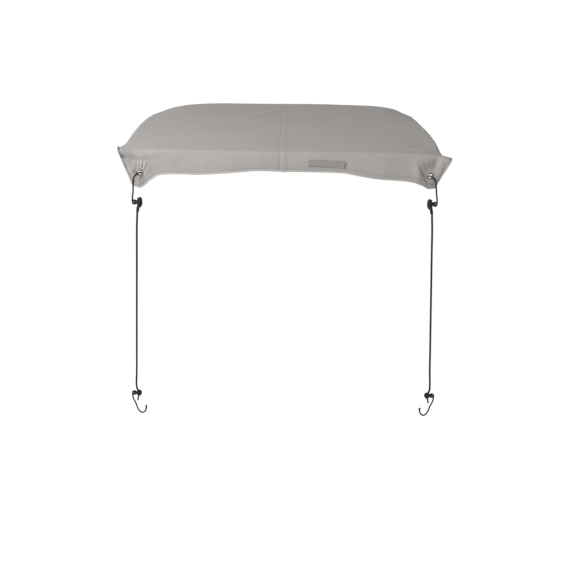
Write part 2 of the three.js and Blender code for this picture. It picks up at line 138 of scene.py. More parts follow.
# %% Colours and materials
def srgb(red, green, blue):
    """A colour given as 0 to 255 on a screen, as the linear values that a shader takes."""
    shares = [value / 255 for value in (red, green, blue)]
    linear = [share / 12.92 if share < 0.04 else ((share + 0.055) / 1.055) ** 2.4 for share in shares]
    return (*linear, 1.0)


def new_material(name, **plain):
    """A material with one Principled shader, and plain values on its sockets: roughness=0.5 and so on."""
    made = bpy.data.materials.new(name)
    made.use_nodes = True
    shader = made.node_tree.nodes["Principled BSDF"]
    for socket, value in plain.items():
        shader.inputs[socket.replace("_", " ")].default_value = value
    return made, made.node_tree, shader


# %% Nodes
def add_node(tree, kind, settings=None, **sockets):
    """A node of that kind. A socket is set to a value, or joined to another node's output."""
    made = tree.nodes.new(kind)
    for key, value in (settings or {}).items():
        setattr(made, key, value)
    for key, value in sockets.items():
        place = int(key[1:]) if key[0] == "_" else key.replace("_", " ")
        if isinstance(value, bpy.types.NodeSocket):
            tree.links.new(value, made.inputs[place])
        else:
            made.inputs[place].default_value = value
    return made


def maths(tree, operation, first, second=0.5):
    """One step of arithmetic on two values, each a number or a socket."""
    return add_node(tree, "ShaderNodeMath", {"operation": operation}, _0=first, _1=second).outputs[0]


def mixed(tree, factor, low, high):
    """A colour between low and high."""
    made = add_node(tree, "ShaderNodeMix", {"data_type": "RGBA"}, _0=factor, _6=low, _7=high)
    return made.outputs[2]


def object_place(tree):
    """Where a point is on the piece, in metres."""
    return add_node(tree, "ShaderNodeTexCoord").outputs["Object"]


def uv_place(tree):
    """Where a point is on the piece's own UV map."""
    return add_node(tree, "ShaderNodeUVMap", {"uv_map": "UVMap"}).outputs[0]


def stretched(tree, uv, times_across, times_along):
    """A UV place with its two ways scaled, so that a pattern on it is drawn out."""
    return add_node(tree, "ShaderNodeMapping", Vector=uv, Scale=(times_across, times_along, 1.0)).outputs[0]


# %% Textures and relief
def noise_of(tree, place, size, detail=2.0):
    """Cloudy noise whose blobs are about size metres across, from 0 to 1."""
    return add_node(tree, "ShaderNodeTexNoise", Vector=place, Scale=1 / size, Detail=detail).outputs[0]


def relief(tree, shader, heights):
    """Bumps on the shader, from pairs of a height from 0 to 1 and its real depth in metres."""
    normal = None
    for height, depth in heights:
        bump = add_node(tree, "ShaderNodeBump", Height=height, Distance=depth)
        if normal is not None:
            tree.links.new(normal, bump.inputs["Normal"])
        normal = bump.outputs[0]
    tree.links.new(normal, shader.inputs["Normal"])


def tint_between(tree, shader, amount, dark, light):
    """A colour that goes from dark to light with an amount from 0 to 1."""
    tree.links.new(mixed(tree, amount, dark, light), shader.inputs["Base Color"])


def rough_between(tree, shader, amount, low, high):
    """A roughness that goes from low to high with an amount from 0 to 1."""
    between = add_node(tree, "ShaderNodeMapRange", _0=amount, _3=low, _4=high).outputs[0]
    tree.links.new(between, shader.inputs["Roughness"])


# %% [markdown]
# ## Smooth lines and round bars
# Cords, hooks and knots are all a round section that follows a line. Blender's curves could make them with
# a bevel depth, but a mesh made here can also swell at a dipped tip and carry the relief of a braid. The
# line is a smooth curve through a few given points. Its pace between two of them is the root of their
# distance, which keeps it from looping or overshooting. The section is carried along without twisting.


# %% Smooth lines
FINE_STEPS = 16  # points between two given ones, before they are spaced evenly


def smooth_line(points, step):
    """Even points about step apart on a smooth curve through given ones."""
    knots = np.array(points, float)
    knots = np.vstack([2 * knots[0] - knots[1], knots, 2 * knots[-1] - knots[-2]])
    fine = []
    for a, b, c, d in zip(knots, knots[1:], knots[2:], knots[3:]):
        t1 = np.linalg.norm(b - a) ** 0.5
        t2 = t1 + np.linalg.norm(c - b) ** 0.5
        t3 = t2 + np.linalg.norm(d - c) ** 0.5
        t = np.linspace(t1, t2, FINE_STEPS, endpoint=False)[:, None]
        ab = a + (b - a) * t / t1
        bc = b + (c - b) * (t - t1) / (t2 - t1)
        cd = c + (d - c) * (t - t2) / (t3 - t2)
        abc = ab + (bc - ab) * t / t2
        bcd = bc + (cd - bc) * (t - t1) / (t3 - t1)
        fine.append(abc + (bcd - abc) * (t - t1) / (t2 - t1))
    return evenly(np.vstack([*fine, knots[-2]]), step)


def evenly(line, step):
    """The same line with its points about step apart."""
    along = np.concatenate([[0], np.cumsum(np.linalg.norm(np.diff(line, axis=0), axis=1))])
    at = np.linspace(0, along[-1], max(3, round(along[-1] / step) + 1))
    return np.stack([np.interp(at, along, line[:, axis]) for axis in range(3)], axis=1)


# %% Round bars
CAP_ANGLES = np.radians([15, 40, 65])  # rings of a round end
FIRST_ACROSS = (0.3, 1.0, 0.2)  # a way that no bar here runs, to turn its first ring by


def bar_parts(line, radius, sides, relief_of=None):
    """Points, faces and UVs of a closed round bar. The UV is the share round it and the metres along it."""
    radii = np.broadcast_to(np.asarray(radius, float), (len(line),))
    ahead = np.gradient(line, axis=0)
    ahead /= np.linalg.norm(ahead, axis=1)[:, None]
    grow = np.sin(CAP_ANGLES)
    start = line[0] - ahead[0] * radii[0] * grow[::-1, None]
    stop = line[-1] + ahead[-1] * radii[-1] * grow[:, None]
    rounded = np.cos(CAP_ANGLES)
    centres = np.vstack([start, line, stop])
    widths = np.concatenate([radii[0] * rounded[::-1], radii, radii[-1] * rounded])
    caps = len(CAP_ANGLES)
    ways = np.vstack([np.repeat(ahead[:1], caps, 0), ahead, np.repeat(ahead[-1:], caps, 0)])
    across = np.cross(ways[0], FIRST_ACROSS)
    turns = np.arange(sides) * 2 * math.pi / sides
    along = np.concatenate([[0], np.cumsum(np.linalg.norm(np.diff(centres, axis=0), axis=1))])
    rings = []
    for centre, way, width, far in zip(centres, ways, widths, along):
        across = across - way * (across @ way)
        across /= np.linalg.norm(across)
        up = np.cross(way, across)
        reach = width * np.ones(sides) if relief_of is None else width + relief_of(turns, far)
        spokes = np.outer(np.cos(turns), across) + np.outer(np.sin(turns), up)
        rings.append(centre + spokes * reach[:, None])
    poles = [line[0] - ahead[0] * radii[0], line[-1] + ahead[-1] * radii[-1]]
    points = np.vstack([*rings, *poles])
    faces, uv = [], []
    last = len(rings) - 1
    for ring in range(last):
        for side in range(sides):
            after = (side + 1) % sides
            low, high = ring * sides, (ring + 1) * sides
            faces.append((low + side, low + after, high + after, high + side))
            left, right = side / sides, (side + 1) / sides
            near, far = along[ring] * MM, along[ring + 1] * MM
            uv += [(left, near), (right, near), (right, far), (left, far)]
    for side in range(sides):
        after = (side + 1) % sides
        faces.append((len(points) - 2, after, side))
        faces.append((len(points) - 1, last * sides + side, last * sides + after))
        uv += [(side / sides, 0)] * 3 + [(side / sides, along[-1] * MM)] * 3
    return points, faces, uv


# %% Several bars as one object
def merged_parts(parts):
    """Several sets of points, faces and UVs as one."""
    points, faces, uv = [], [], []
    for some_points, some_faces, some_uv in parts:
        before = sum(len(p) for p in points)
        points.append(np.asarray(some_points))
        faces += [tuple(index + before for index in face) for face in some_faces]
        uv += list(some_uv)
    return np.vstack(points), faces, uv


def bar_object(name, parts):
    """One object from the parts of one or more bars."""
    points, faces, uv = merged_parts(parts)
    made = new_object(name, points, faces)
    write_uv(made, uv)
    return made


# %% [markdown]
# ## Cords
# Each tie-down has a 5 mm elastic cord that runs from a knot below the cover's corner to a knot above the
# lower hook. It is held taut, so its line is straight but for the turn at each knot. The points are
# given. The sleeve of such a cord is a braid, and its diamonds are real relief here: two families of
# strands cross as they wind round, and the product of two cosine waves gives their lozenges.

# %% Cord routes
CORD_RADIUS = 2.5
BRAID_DEPTH = 0.16
BRAID_PAIRS = 4  # lozenges round the cord, half of them
BRAID_PITCH = 7.0  # along the cord, for one lozenge and its neighbour
RING_RADIUS = 4.6  # a hook's eye, to the middle of its wire
RING_SIDE = 6.0  # from the cord's line to the middle of that eye, outwards
KNOT_SIDE = 6.4  # from the cord's line to the middle of its knot, inwards

# inward is the way from the hook to the cord along X. upper and lower are beside the two knots.
ties = [
    {
        "name": "left",
        "eyelet": "front_left",
        "inward": 1,
        "upper": (-346, -386, -124),
        "lower": (-364, -352, -629),
    },
    {
        "name": "right",
        "eyelet": "front_right",
        "inward": -1,
        "upper": (362, -386, -122),
        "lower": (381, -352, -629),
    },
]
UPPER_LEAD = [(5, -2), (2.5, -9), (0.5, -18), (0, -30)]
LOWER_LEAD = [(0, 26), (0.5, 16), (2.5, 8), (5, 2)]
STRAIGHT_POINTS = 7


def from_base(tie, base, points):
    """Points given as inward, back and up from a base, on one tie-down's side."""
    return [(base[0] + p[0] * tie["inward"], base[1] + p[1], base[2] + p[2]) for p in points]


def cord_points(tie):
    """The points of one cord, from its upper knot to its lower one."""
    upper, lower = np.array(tie["upper"], float), np.array(tie["lower"], float)
    shares = np.arange(1, STRAIGHT_POINTS + 1) / (STRAIGHT_POINTS + 1)
    straight = [upper + (lower - upper) * share for share in shares]
    start = from_base(tie, upper, [(inward, 0, up) for inward, up in UPPER_LEAD])
    stop = from_base(tie, lower, [(inward, 0, up) for inward, up in LOWER_LEAD])
    return [*start, *straight, *stop]


print("points of a cord:", len(cord_points(ties[0])))


# %% Elastic cords
CORD_SIDES = 32
CORD_STEP = 0.9


def braid(turns, far):
    """How far the sleeve's strands stand out round the cord, at one place along it."""
    round_it = BRAID_PAIRS * turns
    along_it = 2 * math.pi * far / BRAID_PITCH
    return BRAID_DEPTH * np.cos(round_it + along_it) * np.cos(round_it - along_it)


cord_pieces = {}
cord_lines = {}
for tie in ties:
    line = smooth_line(cord_points(tie), CORD_STEP)
    cord_lines[tie["name"]] = line
    cord_pieces[tie["name"]] = bar_object(
        f"elastic_{tie['name']}", [bar_parts(line, CORD_RADIUS, CORD_SIDES, braid)]
    )
    length = np.linalg.norm(np.diff(line, axis=0), axis=1).sum()
    print(tie["name"], "cord:", round(length), "mm")

# %% [markdown]
# ## Knots
# The cord's end goes through the hook's closed eye, comes back and is wound tightly round itself. A knot
# could be simulated, but its strands would be hard to place. Winding a bar along a barrel-shaped helix gives
# the same look: close turns that bulge in the middle, the loop through the eye, and a cut tail.

# %% Knots
LOOP_RADIUS = 2.2  # the cord squeezed in its knot
KNOT_WIDTH = 5.3  # radius of the winding, to the middle of its strand
UPPER_KNOT_HALF = 11.0  # half of the winding's height
LOWER_KNOT_HALF = 6.6
TURN_PITCH = 4.5
TURN_POINTS = 20
BARREL_HALF = 1.08  # where the barrel would close, as a share of half the winding
UNEVEN = 0.25  # how far a turn strays outwards
UNEVEN_TURNS = 2.3  # how often it does in each turn
TURN_WAVE = 0.5  # how far it strays up and down
CORE_SHARE = 0.6  # of the winding's height
SQUEEZED = 0.8  # the share of its width that the core keeps, and of its depth that the braid keeps
KNOT_STEP = 1.0
KNOT_SIDES = 20
LOOP_ENDS = (4.5, 3.0, 0), (4.5, -3.0, 0)
TAIL = [(0, -0.5, 2), (-0.6, -2.0, -3), (-2.4, -3.6, -8), (-3.2, -4.6, -14)]


def squeezed_braid(turns, far):
    """The braid where the knot presses it flat."""
    return SQUEEZED * braid(turns, far)


def knot_parts(tie, end, half):
    """The winding, its core, the loop through the hook's eye and the tail of one knot."""
    middle = from_base(tie, end, [(KNOT_SIDE, 0, 0)])[0]
    turns = 2 * half / TURN_PITCH
    share = np.linspace(0, 1, round(turns * TURN_POINTS))
    angle = 2 * math.pi * turns * share
    height = (share - 0.5) * 2 * half
    barrel = KNOT_WIDTH * np.sqrt(1 - (height / (half * BARREL_HALF)) ** 2)
    uneven = UNEVEN * np.sin(UNEVEN_TURNS * angle)
    winding = np.stack(
        [
            middle[0] + (barrel + uneven) * np.cos(angle) * tie["inward"],
            middle[1] + (barrel - uneven) * np.sin(angle),
            middle[2] + height + TURN_WAVE * np.sin(angle + 1.1),
        ],
        axis=1,
    )
    up = np.linspace(-half, half, 14) * CORE_SHARE
    core = np.array(middle) + np.outer(up, (0, 0, 1))
    reach = RING_SIDE - RING_RADIUS
    bend = np.linspace(math.pi / 2, 3 * math.pi / 2, 9)
    around = [(RING_RADIUS * math.cos(a) - reach, RING_RADIUS * math.sin(a), 0) for a in bend]
    loop = from_base(tie, end, [LOOP_ENDS[0], *around, LOOP_ENDS[1]])
    tail = from_base(tie, (middle[0], middle[1], middle[2] - half + 3), TAIL)
    return [
        bar_parts(evenly(winding, KNOT_STEP), LOOP_RADIUS, KNOT_SIDES, squeezed_braid),
        bar_parts(core, KNOT_WIDTH * SQUEEZED, 16),
        bar_parts(smooth_line(loop, KNOT_STEP), LOOP_RADIUS, KNOT_SIDES, squeezed_braid),
        bar_parts(smooth_line(tail, KNOT_STEP), LOOP_RADIUS * 0.95, KNOT_SIDES, squeezed_braid),
    ]


knots = {}
for tie in ties:
    for end, half in (("upper", UPPER_KNOT_HALF), ("lower", LOWER_KNOT_HALF)):
        name = f"knot_{tie['name']}_{end}"
        knots[tie["name"], end] = bar_object(name, knot_parts(tie, tie[end], half))
print("knots:", len(knots))

# %% [markdown]
# ## The cut of the cloth
# The cover's shape comes from short tables, one row for each place along a side where the fold or the hem
# changes. Between the rows a smooth curve is read. Each side then gives sections from the flat middle, over
# the fold and down the skirt, and neighbouring sections are joined into one sheet. A cloth simulation could
# drape a square of cloth, but the photographed lie of the ears and the hem is easier to match by table.

# %% Sizes of the cloth
PANEL = 764  # top panel, from fold to fold
HALF = PANEL / 2
FLAT = 280  # half the flat middle
CLOTH = 1.6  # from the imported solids' inner face to the outer one
THICKNESS = 1.0  # of the finished sheet, below that outer face
FOLD_RADIUS = 9
EAR_RADIUS = 2.5
EAR_SHARE = 0.08
HEM_WIDTH = 13
SKIRT_BULGE = 2

# Where each corner has its ear, at the level of the fold, and its foot, at the hem.
ears = {
    "front_left": {"ear": (-388, -393, 4), "foot": (-354, -374, -86)},
    "front_right": {"ear": (403, -392, -11), "foot": (366, -373, -85)},
    "back_right": {"ear": (386, 376, -46), "foot": (368, 364, -128)},
    "back_left": {"ear": (-388, 377, -46), "foot": (-370, 365, -128)},
}

ear_to_ear = ears["front_right"]["ear"][0] - ears["front_left"]["ear"][0]
print("top panel:", PANEL, "mm, from ear to ear:", ear_to_ear, "mm")

# %% Sides
# The columns are: share along the side, fold out and up, hem out and up.
sides = {
    "front": {
        "corners": ("front_left", "front_right"),
        "along": (1, 0),
        "outward": (0, -1),
        "rows": [
            (0.026, 9, 3, -5, -89),
            (0.054, 6, 3, -2, -73),
            (0.086, 4, 2.5, 2, -58),
            (0.15, 3, 2, 4, -54.5),
            (0.215, 3, 1.5, 3, -55.5),
            (0.31, 2, 0.5, 5, -51),
            (0.405, 2, 0, 3, -45),
            (0.49, 2, 0, 4, -46),
            (0.69, 3, 0, 3, -48),
            (0.74, 3, 0, 5, -54),
            (0.81, 3, 0, 5, -62),
            (0.87, 3, 0, 3, -65),
            (0.925, 4, -2, 2, -69.5),
            (0.955, 5, -5, -2, -77),
            (0.978, 8, -8, -7, -86),
        ],
    },
    "right": {
        "corners": ("front_right", "back_right"),
        "along": (0, 1),
        "outward": (1, 0),
        "rows": [
            (0.04, 9, -14, -15, -88),
            (0.08, 4, -10, -9, -76),
            (0.14, 0, -3, -2, -62),
            (0.25, 0, 0, 2, -57),
            (0.4, -4, 0, 0, -52),
            (0.52, -9, 0, -3, -54),
            (0.65, -10, -6, -5, -58),
            (0.77, -10, -13, -4, -66),
            (0.86, -7, -21, -6, -78),
            (0.93, -2, -31, -10, -106),
        ],
    },
    "back": {
        "corners": ("back_right", "back_left"),
        "along": (-1, 0),
        "outward": (0, 1),
        "rows": [
            (0.06, -6, -18, -12, -104),
            (0.11, -8, -8, -6, -76),
            (0.18, -9, -3, -2, -60),
            (0.34, -9, 0, -4, -54),
            (0.52, -9, 0, 0, -50),
            (0.7, -9, 0, -3, -53),
            (0.82, -9, -3, -1, -61),
            (0.89, -8, -9, -6, -78),
            (0.94, -6, -20, -12, -105),
        ],
    },
    "left": {
        "corners": ("back_left", "front_left"),
        "along": (0, -1),
        "outward": (-1, 0),
        "rows": [
            (0.07, 3, -32, -9, -108),
            (0.13, 0, -24, -6, -84),
            (0.24, -4, -12, -3, -66),
            (0.35, -5, -4, -1, -58),
            (0.48, -2, 0, 2, -52),
            (0.64, 1, 0, 3, -55),
            (0.78, 1, 0, 2, -54),
            (0.88, 1, 0, -8, -62),
            (0.945, 3, 3.5, -18, -80),
        ],
    },
}

print("rows of each side:", {name: len(side["rows"]) for name, side in sides.items()})

# %% Soft folds of the skirts
# The columns are: the middle's share along and down, how far the fold leans on its way down, its reach
# along and down, and its height out of the cloth.
folds = {
    "front": [
        (0.034, 0.2, 0.02, 0.022, 0.18, -4.5),
        (0.062, 0.5, 0, 0.014, 0.3, 2.5),
        (0.955, 0.35, 0, 0.02, 0.3, -5.5),
        (0.928, 0.6, 0.05, 0.014, 0.4, 3),
    ],
    "right": [
        (0.05, 0.4, 0, 0.03, 0.4, -5),
        (0.11, 0.6, -0.04, 0.025, 0.5, 4),
        (0.9, 0.6, 0.05, 0.03, 0.5, 4),
    ],
    "back": [
        (0.1, 0.5, -0.04, 0.03, 0.5, 4),
        (0.9, 0.5, 0.04, 0.03, 0.5, 4),
    ],
    "left": [
        (0.1, 0.6, -0.05, 0.03, 0.5, 4),
        (0.95, 0.4, 0, 0.03, 0.4, -5),
    ],
}
print("soft folds:", sum(len(some) for some in folds.values()))

# %% [markdown]
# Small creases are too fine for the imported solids, so they are added here. Each is a short line on a skirt,
# with a width and a height. The ones at the front are placed after the photograph: a soft roll and a deep
# valley below the left brow, thin puckers that fan out above the left eyelet, and a sharp slanting fold
# beside the right one. The hidden sides get plain ones of the same kind.

# %% Fine creases of the skirts
# Places are X and Z on the front and back, and Y and Z on the sides. Then come the width and the height.
creases = {
    "front": [
        ([(-378, -2), (-366, -6), (-336, -9), (-305, -9), (-282, -6)], 7.5, 2.2),
        ([(-386, -8), (-375, -14), (-364, -18)], 4.2, -3.4),
        ([(-362, -20), (-345, -21), (-326, -21), (-302, -20)], 3.4, -0.9),
        ([(-366, -36), (-352, -50), (-345, -62)], 6.0, 1.5),
        ([(-343, -20), (-344, -30), (-344, -49)], 1.8, -1.3),
        ([(-338, -24), (-340, -34), (-341, -47)], 1.6, 0.8),
        ([(-334, -17), (-337, -30), (-338, -47)], 1.7, -1.4),
        ([(-330, -20), (-333, -32), (-335, -50)], 1.6, 1.1),
        ([(-325, -16), (-329, -30), (-332, -51)], 1.8, -1.7),
        ([(-320, -22), (-326, -36), (-331, -55)], 1.8, 1.1),
        ([(-315, -26), (-322, -40), (-327, -54)], 2.2, -0.9),
        ([(-326, -51), (-332, -60), (-338, -70)], 2.0, -2.0),
        ([(-321, -52), (-333, -70)], 2.0, 1.1),
        ([(-352, -70), (-346, -80)], 2.2, -1.2),
        ([(-372, -30), (-366, -46)], 2.6, -1.3),
        ([(-250, -14), (-232, -46)], 15, -0.9),
        ([(-170, -10), (-186, -48)], 16, 1.0),
        ([(-60, -12), (-48, -40)], 14, 0.8),
        ([(110, -10), (92, -44)], 16, -0.8),
        ([(185, -10), (205, -56)], 14, -1.0),
        ([(250, -14), (238, -58)], 13, 1.0),
        ([(325, -24), (337, -48), (352, -80)], 2.6, -2.2),
        ([(333, -24), (344, -47), (357, -76)], 3.4, 1.1),
        ([(337, -18), (344, -42)], 3.4, -0.35),
        ([(344, -16), (348, -38)], 3.0, 0.3),
        ([(351, -18), (353, -40)], 3.2, -0.45),
        ([(368, -10), (363, -26), (360, -44)], 6.5, -2.3),
        ([(359, 0), (366, -4)], 6.0, 1.6),
        ([(379, -14), (377, -30)], 5.0, 1.8),
        ([(390, -22), (378, -52)], 2.6, -1.4),
        ([(368, -66), (360, -78)], 2.4, -1.2),
    ],
    "right": [
        ([(-361, -3), (-330, -1), (-285, -2)], 7.0, -2.6),
        ([(-381, -20), (-366, -36), (-350, -55)], 3.6, -1.9),
        ([(-373, -17), (-350, -30), (-335, -42)], 4.0, 1.5),
        ([(-376, -46), (-364, -68)], 3.0, -1.3),
        ([(-200, -8), (-185, -50)], 14, 1.2),
        ([(-60, -6), (-75, -48)], 16, -1.2),
        ([(60, -10), (80, -50)], 14, 1.1),
        ([(170, -22), (160, -58)], 12, -1.2),
        ([(300, -38), (262, -70)], 7.0, 1.3),
        ([(332, -46), (304, -86)], 4.5, -1.9),
        ([(352, -56), (336, -100)], 4.0, 1.5),
    ],
    "back": [
        ([(-372, -62), (-362, -78)], 3.0, -1.5),
        ([(-345, -52), (-348, -74)], 2.2, -1.2),
        ([(-336, -52), (-342, -74)], 2.2, 1.1),
        ([(-328, -54), (-337, -78)], 2.6, -1.6),
        ([(-300, -42), (-318, -74)], 5.0, 1.2),
        ([(-180, -14), (-165, -56)], 15, 1.0),
        ([(-40, -12), (-56, -48)], 15, -1.0),
        ([(90, -12), (110, -50)], 14, 1.0),
        ([(230, -16), (215, -58)], 13, -1.0),
        ([(302, -42), (320, -76)], 5.0, 1.3),
        ([(328, -52), (336, -78)], 2.6, -1.6),
        ([(337, -52), (343, -74)], 2.2, 1.1),
        ([(371, -62), (362, -78)], 3.0, -1.4),
    ],
    "left": [
        ([(-382, -12), (-366, -30), (-352, -50)], 3.6, -1.9),
        ([(-374, -8), (-350, -22), (-332, -34)], 4.4, 1.5),
        ([(-378, -44), (-366, -66)], 3.0, -1.3),
        ([(-210, -8), (-196, -50)], 14, -1.1),
        ([(-90, -8), (-104, -48)], 15, 1.1),
        ([(30, -8), (46, -46)], 14, -1.0),
        ([(160, -20), (148, -60)], 12, 1.2),
        ([(296, -38), (262, -72)], 7.0, 1.3),
        ([(332, -46), (306, -88)], 4.5, -1.9),
        ([(352, -56), (336, -100)], 4.0, 1.5),
    ],
}
print("creases:", {name: len(lines) for name, lines in creases.items()})


# %% Distance from a line
def near_line(places, line):
    """The distance of each place to a line of points, and the share along it of the nearest point."""
    line = np.array(line, float)
    lengths = np.linalg.norm(np.diff(line, axis=0), axis=1)
    passed = np.concatenate([[0], np.cumsum(lengths)])
    nearest = np.full(places.shape[:-1], np.inf)
    share = np.zeros(places.shape[:-1])
    for start, stop, before, long in zip(line, line[1:], passed, lengths):
        way = (stop - start) / long
        t = np.clip((places - start) @ way, 0, long)
        away = np.linalg.norm(places - start - t[..., None] * way, axis=-1)
        closer = away < nearest
        nearest = np.where(closer, away, nearest)
        share = np.where(closer, (before + t) / passed[-1], share)
    return nearest, share


# %% [markdown]
# A section is read from the tables for many shares at once with numpy, which is far quicker than a loop over
# points in Python. The curve between two rows is a cubic whose slopes come from the rows on either side.


# %% Reading a side's table
def read_table(rows, at):
    """Every column of a table at the shares in at."""
    rows = np.array(rows, float)
    first = np.clip(np.searchsorted(rows[:, 0], at, side="left") - 1, 0, len(rows) - 2)
    a, b = rows[first], rows[first + 1]
    before, after = rows[np.maximum(first - 1, 0)], rows[np.minimum(first + 2, len(rows) - 1)]
    width = (b - a)[:, :1]
    t = (at[:, None] - a[:, :1]) / width
    slope_a = (b - before) / (b - before)[:, :1] * width
    slope_b = (after - a) / (after - a)[:, :1] * width
    start = a * (1 + 2 * t) * (1 - t) ** 2 + slope_a * t * (1 - t) ** 2
    return start + b * (3 - 2 * t) * t**2 - slope_b * t**2 * (1 - t)


def corner_row(side, corner, at):
    """A corner's ear and foot as a row of the table of one of its sides."""
    outward = np.array(side["outward"])
    ear, foot = (np.array(ears[corner][part], float) for part in ("ear", "foot"))
    return (at, ear[:2] @ outward - HALF, ear[2], foot[:2] @ outward - HALF, foot[2])


for side in sides.values():
    first, second = side["corners"]
    side["rows"] = [corner_row(side, first, 0), *side["rows"], corner_row(side, second, 1)]
print("front rows with their corners:", len(sides["front"]["rows"]))


# %% Sections of a side
def side_points(side, ends, at, out, up):
    """Points that lie straight between two ends along a side, and out and up as given."""
    along, outward = np.array(side["along"]), np.array(side["outward"])
    start, stop = (np.array(end[:2], float) @ along for end in ends)
    flat = (start + (stop - start) * at)[:, None] * along + (HALF + out)[:, None] * outward
    return np.column_stack([flat, up])


def sections_of(side, at):
    """The rim of the flat middle, the fold and the hem of a side at the shares in at."""
    _, out, rise, hem_out, drop = read_table(side["rows"], at).T
    along, outward = np.array(side["along"]), np.array(side["outward"])
    rim_ends = [FLAT * (outward - along), FLAT * (outward + along)]
    corner_ears = [ears[corner]["ear"] for corner in side["corners"]]
    corner_feet = [ears[corner]["foot"] for corner in side["corners"]]
    to_ear = np.minimum(1, np.minimum(at, 1 - at) / EAR_SHARE)
    return {
        "rim": side_points(side, rim_ends, at, FLAT - HALF + 0 * at, 0 * at),
        "fold": side_points(side, corner_ears, at, out, rise),
        "hem": side_points(side, corner_feet, at, hem_out, drop),
        "radius": EAR_RADIUS + (FOLD_RADIUS - EAR_RADIUS) * to_ear,
    }


# %% Points of a skirt
ROUND_BULGE = 0.3  # below 1, the skirt bulges nearly to its corners


def lift_of(at, down, tables):
    """How far soft ridges and valleys lift the cloth of a skirt."""
    lift = 0 * at * down
    for middle, middle_down, lean, reach, reach_down, height in tables:
        across = (at - middle - lean * (down - middle_down)) / reach
        lengthwise = (down - middle_down) / reach_down
        lift = lift + height * np.exp(-(across**2) - lengthwise**2)
    return lift


def skirt_points(name, at, down):
    """Points of a skirt for shares along (n) and down (m), as an n by m grid. down is 0 under the fold."""
    side = sides[name]
    section = sections_of(side, at)
    drop = section["hem"] - section["fold"]
    start = section["fold"] + drop * (section["radius"] / np.linalg.norm(drop, axis=1))[:, None]
    at, down = at[:, None], np.atleast_2d(down)
    points = start[:, None] + (section["hem"] - start)[:, None] * down[..., None]
    lift = SKIRT_BULGE * np.sin(math.pi * np.clip(down, 0, 1)) * np.abs(np.sin(math.pi * at)) ** ROUND_BULGE
    lift = lift + lift_of(at, down, folds[name])
    points[..., :2] += lift[..., None] * np.array(side["outward"])
    return points


# %% [markdown]
# The sheet has closer points at the corners, where the cloth turns and where the hem is sewn, because a
# crease only shows where there are points to carry it. The hem's own section says how far the folded edge
# stands out at each height above it: a round edge, and two sewn lines that sink in.

# %% Rows of a section
MIDDLE_SPACING = 8.5  # of the stations along a side
# The spacing at each corner, and how far from it that holds.
corner_spacing = {
    "front_left": (1.15, 92),
    "front_right": (1.15, 92),
    "back_right": (2.4, 80),
    "back_left": (2.4, 80),
}
FLAT_RINGS = 20
RING_CENTRE = np.array([-75.0, -20.0, 0.0])  # where the rings of the flat middle close, away from the seam
TOP_ROWS = 24
TURN_ROWS = 9
SKIRT_ROWS = 34
EDGE_LINE = 5.6  # sewn lines of the hem, above its edge
HEM_LINE = 11.2
# The hem's section: height above its edge, and how far it stands out. The edge turns outwards a little.
HEM_SECTION = [
    (0, 1.5),
    (0.4, 1.95),
    (1.0, 2.05),
    (2.4, 1.65),
    (4.7, 0.95),
    (EDGE_LINE, 0.25),
    (6.4, 0.8),
    (8.4, 0.95),
    (10.4, 0.8),
    (HEM_LINE, 0.3),
    (12.0, 0.65),
    (12.5, 0.6),
    (HEM_WIDTH, 0),
]


# %% Stations of a side
FINE_SHARES = 4001  # places where the spacing is added up
SPACING_POWER = 4  # how suddenly the close spacing ends


def stations_of(name):
    """Shares along a side, close together near its corners."""
    fine = np.linspace(0, 1, FINE_SHARES)
    spacing = np.full(len(fine), MIDDLE_SPACING)
    for corner, share in zip(sides[name]["corners"], (fine, 1 - fine)):
        close, reach = corner_spacing[corner]
        spacing -= (MIDDLE_SPACING - close) * np.exp(-((share * PANEL / reach) ** SPACING_POWER))
    passed = np.concatenate([[0], np.cumsum(np.diff(fine) * PANEL / spacing[:-1])])
    return np.interp(np.linspace(0, passed[-1], math.ceil(passed[-1]) + 1), passed, fine)


print("stations at the front:", len(stations_of("front")))

# %% Grid of a side
FAR_ABOVE = 99.0  # stands for every height above the hem


def grid_of(name):
    """One side's grid of points, its UVs in metres of flat cloth, and each point's height above the hem."""
    side = sides[name]
    at = stations_of(name)
    section = sections_of(side, at)
    rim, fold = section["rim"], section["fold"]
    turn_start = 1 - section["radius"] / np.linalg.norm(fold - rim, axis=1)

    def top(w):
        """The sloping part of the top, which falls more and more towards the fold."""
        points = rim[:, None] + (fold - rim)[:, None] * w[..., None]
        points[..., 2] = fold[:, 2:] * w**2
        return points

    spread = (np.arange(1, FLAT_RINGS + 1) / FLAT_RINGS)[None, :, None]
    flat = RING_CENTRE + (rim[:, None] - RING_CENTRE) * spread
    upper = top(turn_start[:, None] * np.arange(1, TOP_ROWS + 1) / TOP_ROWS)
    enter = upper[:, -1:]
    leave = skirt_points(name, at, np.zeros(1))
    t = (np.arange(1, TURN_ROWS + 1) / TURN_ROWS)[None, :, None]
    turn = enter * (1 - t) ** 2 + 2 * fold[:, None] * t * (1 - t) + leave * t**2
    skirt_length = np.linalg.norm(section["hem"] - leave[:, 0], axis=1)[:, None]
    hem_heights = np.array([height for height, _ in HEM_SECTION[::-1]])
    down_hem = 1 - hem_heights / skirt_length
    down_skirt = down_hem[:, :1] * np.arange(1, SKIRT_ROWS) / SKIRT_ROWS
    lower = skirt_points(name, at, np.hstack([down_skirt, down_hem]))
    points = np.concatenate([flat, upper, turn, lower], axis=1)

    tops = FLAT_RINGS + TOP_ROWS
    fallen = np.linalg.norm(np.diff(points[:, tops - 1 :], axis=1), axis=2).cumsum(axis=1)
    uv = points[..., :2].copy()
    uv[:, tops:] = points[:, tops - 1 : tops, :2] + fallen[..., None] * np.array(side["outward"])
    above_hem = np.full(points.shape[:2], FAR_ABOVE)
    above_hem[:, -len(hem_heights) :] = hem_heights
    return points, uv * MM, above_hem


